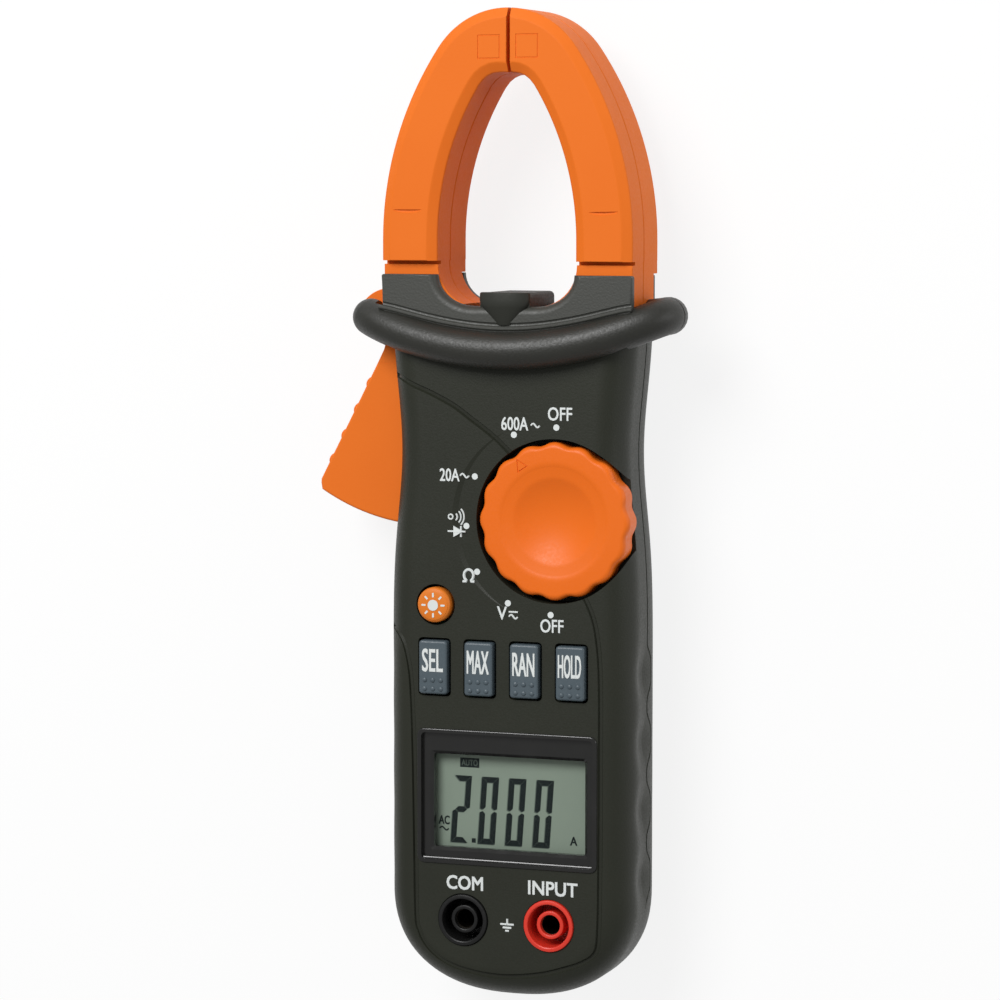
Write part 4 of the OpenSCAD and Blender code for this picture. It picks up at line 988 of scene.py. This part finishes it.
# Test lead sockets: a collar, a deep groove for the plug's shroud and a sleeve round a plated contact tube.
# Moulded in black for the common one and red for the measuring one, and set in the front case half.
COLLAR = [(2.12, 18), (5.48, 18), (5.48, 29.2), (5.35, 29.42), (5.1, 29.5), (4.75, 29.5), (4.57, 29.38),
          (4.5, 29.1), (4.5, 20), (2.98, 20), (2.98, 28.0), (2.88, 28.14), (2.73, 28.2), (2.4, 28.2),
          (2.2, 28.12), (2.12, 27.9)]
TUBE = [(0, 11), (2.7, 11), (2.7, 17.9), (2.1, 17.9), (2.1, 27.2), (2.0, 27.2), (2.0, 12), (0, 12)]
socket_black = moulded("socket_black", tone(27, 27, 27), tone(20, 20, 20), 0.36, 1800, 0.004, shine=0.35)
socket_red = moulded("socket_red", tone(226, 62, 44), tone(212, 50, 36), 0.34, 1800, 0.01)


def metal(name, light, dark, rough, grain, depth):
    """Bare metal with the same drift of tone and fine grain."""
    finish = moulded(name, light, dark, rough, grain, depth)
    finish.node_tree.nodes["Principled BSDF"].inputs["Metallic"].default_value = 1.0
    return finish


# Dark metal for the contact tubes: painted shade for the deep, shadowed holes of the sockets.
painted_shade_metal = metal("painted_shade_metal", tone(74, 68, 60), tone(52, 48, 42), 0.4, 900, 0.002)
for side, colour, word in ((-1, socket_black, "com"), (1, socket_red, "input")):
    place = (side * SOCKET_X, SOCKET_Y, 0)
    collar = as_object(moved(turned(COLLAR, 96, closed=True), place), word + "_collar")
    finished(collar, colour, "housing", "socket_black" if side < 0 else "socket_red", word + "_socket")
    contact = as_object(moved(turned(TUBE, 96), place), word + "_tube")
    finished(contact, painted_shade_metal, "housing", "plated", word + "_contact")

# Battery door: a flat cover over the cells in the back, with four grooves for the fingers.
# Moulded in the case's grey plastic and held by one screw near its upper end.
DOOR_FACE = 0.3
DOOR_SCREW = (0, -30)
GROOVE_ROWS, GROOVE_SIZE = (-70, -72.4, -74.8, -77.2), (16, 0.8)
bm = plate_at(DOOR, DOOR_SIZE, DOOR_FACE, WALL, 0.9)
door = as_object(rounded(bm, 0.3, 2, at_height(DOOR_FACE)), "door_cover")
grooves = [plate_at((0, y), GROOVE_SIZE, -0.4, 0.75, 0.3) for y in GROOVE_ROWS]
shaped(door, "DIFFERENCE", post(*DOOR_SCREW, 1.25, -1, 5), post(*DOOR_SCREW, 2.5, -1, 1), *grooves)
finished(door, case_grey, "housing", "case_grey", "battery_door")

# Inner pieces and screws: they keep their solid shapes and take their own finishes.
# Steel screws, pin, spring and cores; copper windings; green board; wrapped cells.
finishes = {
    "steel": metal("bright_steel", tone(188, 188, 186), tone(160, 160, 158), 0.32, 700, 0.01),
    "copper": metal("copper_wire", tone(190, 112, 66), tone(166, 92, 50), 0.35, 1400, 0.03),
    "plated": metal("plated", tone(190, 186, 176), tone(168, 164, 154), 0.28, 900, 0.004),
    "board_green": moulded("board_green", tone(34, 96, 58), tone(22, 74, 44), 0.4, 500, 0.02, drift=300),
    "chip_black": moulded("chip_black", tone(40, 40, 40), tone(28, 28, 28), 0.55, 2000, 0.01),
    "lcd_light": moulded("light_plate", tone(226, 230, 224), tone(214, 219, 212), 0.3, 800, 0.004),
    "strip_rubber": moulded("strip_rubber", tone(190, 182, 174), tone(168, 160, 152), 0.7, 1200, 0.02),
    "cell_wrap": moulded("cell_wrap", tone(66, 68, 76), tone(48, 50, 58), 0.35, 600, 0.004),
    "rotor_white": moulded("rotor_white", tone(232, 230, 220), tone(218, 216, 206), 0.4, 1500, 0.01),
}
for part in frame["record"]["subparts"]:
    if part["material_slot"] in finishes:
        solid = frame["nodes"][part["node"]]
        solid.data.materials.clear()
        solid.data.materials.append(finishes[part["material_slot"]])

# Stage: a pale table top, a large soft light above the jaws, a weaker one at the side and even room light.
# The table shows nearly white to the camera and in reflections, and still takes the meter's shadow.
TABLE_HALF, TABLE_DROP = 4, 0.0003
TABLE_GLOW = 0.85
ROOM_LIGHT = 0.36
MIDDLE = Vector((0, 0, 0.02))
bm = bmesh.new()
bmesh.ops.create_grid(bm, x_segments=1, y_segments=1, size=TABLE_HALF)
table = as_object(moved(bm, (0, 0, -TABLE_DROP)), "table_top")
table_white = bpy.data.materials.new("table_white")
table_white.use_nodes = True
tree = table_white.node_tree
paint = tree.nodes["Principled BSDF"]
paint.inputs["Base Color"].default_value = (0.93, 0.93, 0.93, 1)
paint.inputs["Roughness"].default_value = 0.9
glow = node(tree, "Emission")
path = node(tree, "LightPath")
seen = node(tree, "Math")
seen.operation = "MAXIMUM"
mirrored = node(tree, "Math")
mirrored.operation = "MAXIMUM"
dimmed = node(tree, "Math")
dimmed.operation = "MULTIPLY"
dimmed.inputs[1].default_value = TABLE_GLOW
lit_floor = node(tree, "MixShader")
tree.links.new(path.outputs["Is Camera Ray"], seen.inputs[0])
tree.links.new(path.outputs["Is Glossy Ray"], mirrored.inputs[0])
tree.links.new(path.outputs["Is Transmission Ray"], mirrored.inputs[1])
tree.links.new(mirrored.outputs[0], seen.inputs[1])
tree.links.new(seen.outputs[0], dimmed.inputs[0])
tree.links.new(dimmed.outputs[0], lit_floor.inputs[0])
tree.links.new(paint.outputs[0], lit_floor.inputs[1])
tree.links.new(glow.outputs[0], lit_floor.inputs[2])
tree.links.new(lit_floor.outputs[0], tree.nodes["Material Output"].inputs["Surface"])
table.data.materials.append(table_white)

world = bpy.data.worlds.new("room")
bpy.context.scene.world = world
world.use_nodes = True
room = world.node_tree.nodes["Background"]
room.inputs["Color"].default_value = (1, 1, 1, 1)
room.inputs["Strength"].default_value = ROOM_LIGHT


def soft_light(name, place, size, power):
    """Round soft light that faces the middle of the meter."""
    lamp = bpy.data.lights.new(name, "AREA")
    lamp.shape = "DISK"
    lamp.size = size
    lamp.energy = power
    holder = bpy.data.objects.new(name, lamp)
    holder.location = place
    holder.rotation_euler = (MIDDLE - Vector(place)).to_track_quat("-Z", "Y").to_euler()
    bpy.context.scene.collection.objects.link(holder)


soft_light("key_light", (-0.22, 0.55, 0.8), 0.55, 8.3)
soft_light("side_light", (0.8, 0.2, 0.25), 0.5, 1.2)

# Camera: a little to the right of the panel's normal and slightly above it, with the jaws up.
# A long lens from about three quarters of a metre.
EYE = Vector((0.253118, 0.067440, 0.727900))
TARGET = Vector((-0.001625, 0.002277, 0.028))
lens = bpy.data.cameras.new("camera")
lens.sensor_width = 36
lens.lens = 129.6
lens.clip_start = 0.01
eye = bpy.data.objects.new("camera", lens)
eye.location = EYE
back = (EYE - TARGET).normalized()
right = Vector((0, 1, 0)).cross(back).normalized()
up = back.cross(right)
eye.rotation_euler = Matrix((right, up, back)).transposed().to_euler()
bpy.context.scene.collection.objects.link(eye)
bpy.context.scene.camera = eye
bpy.context.scene.view_settings.view_transform = "Standard"
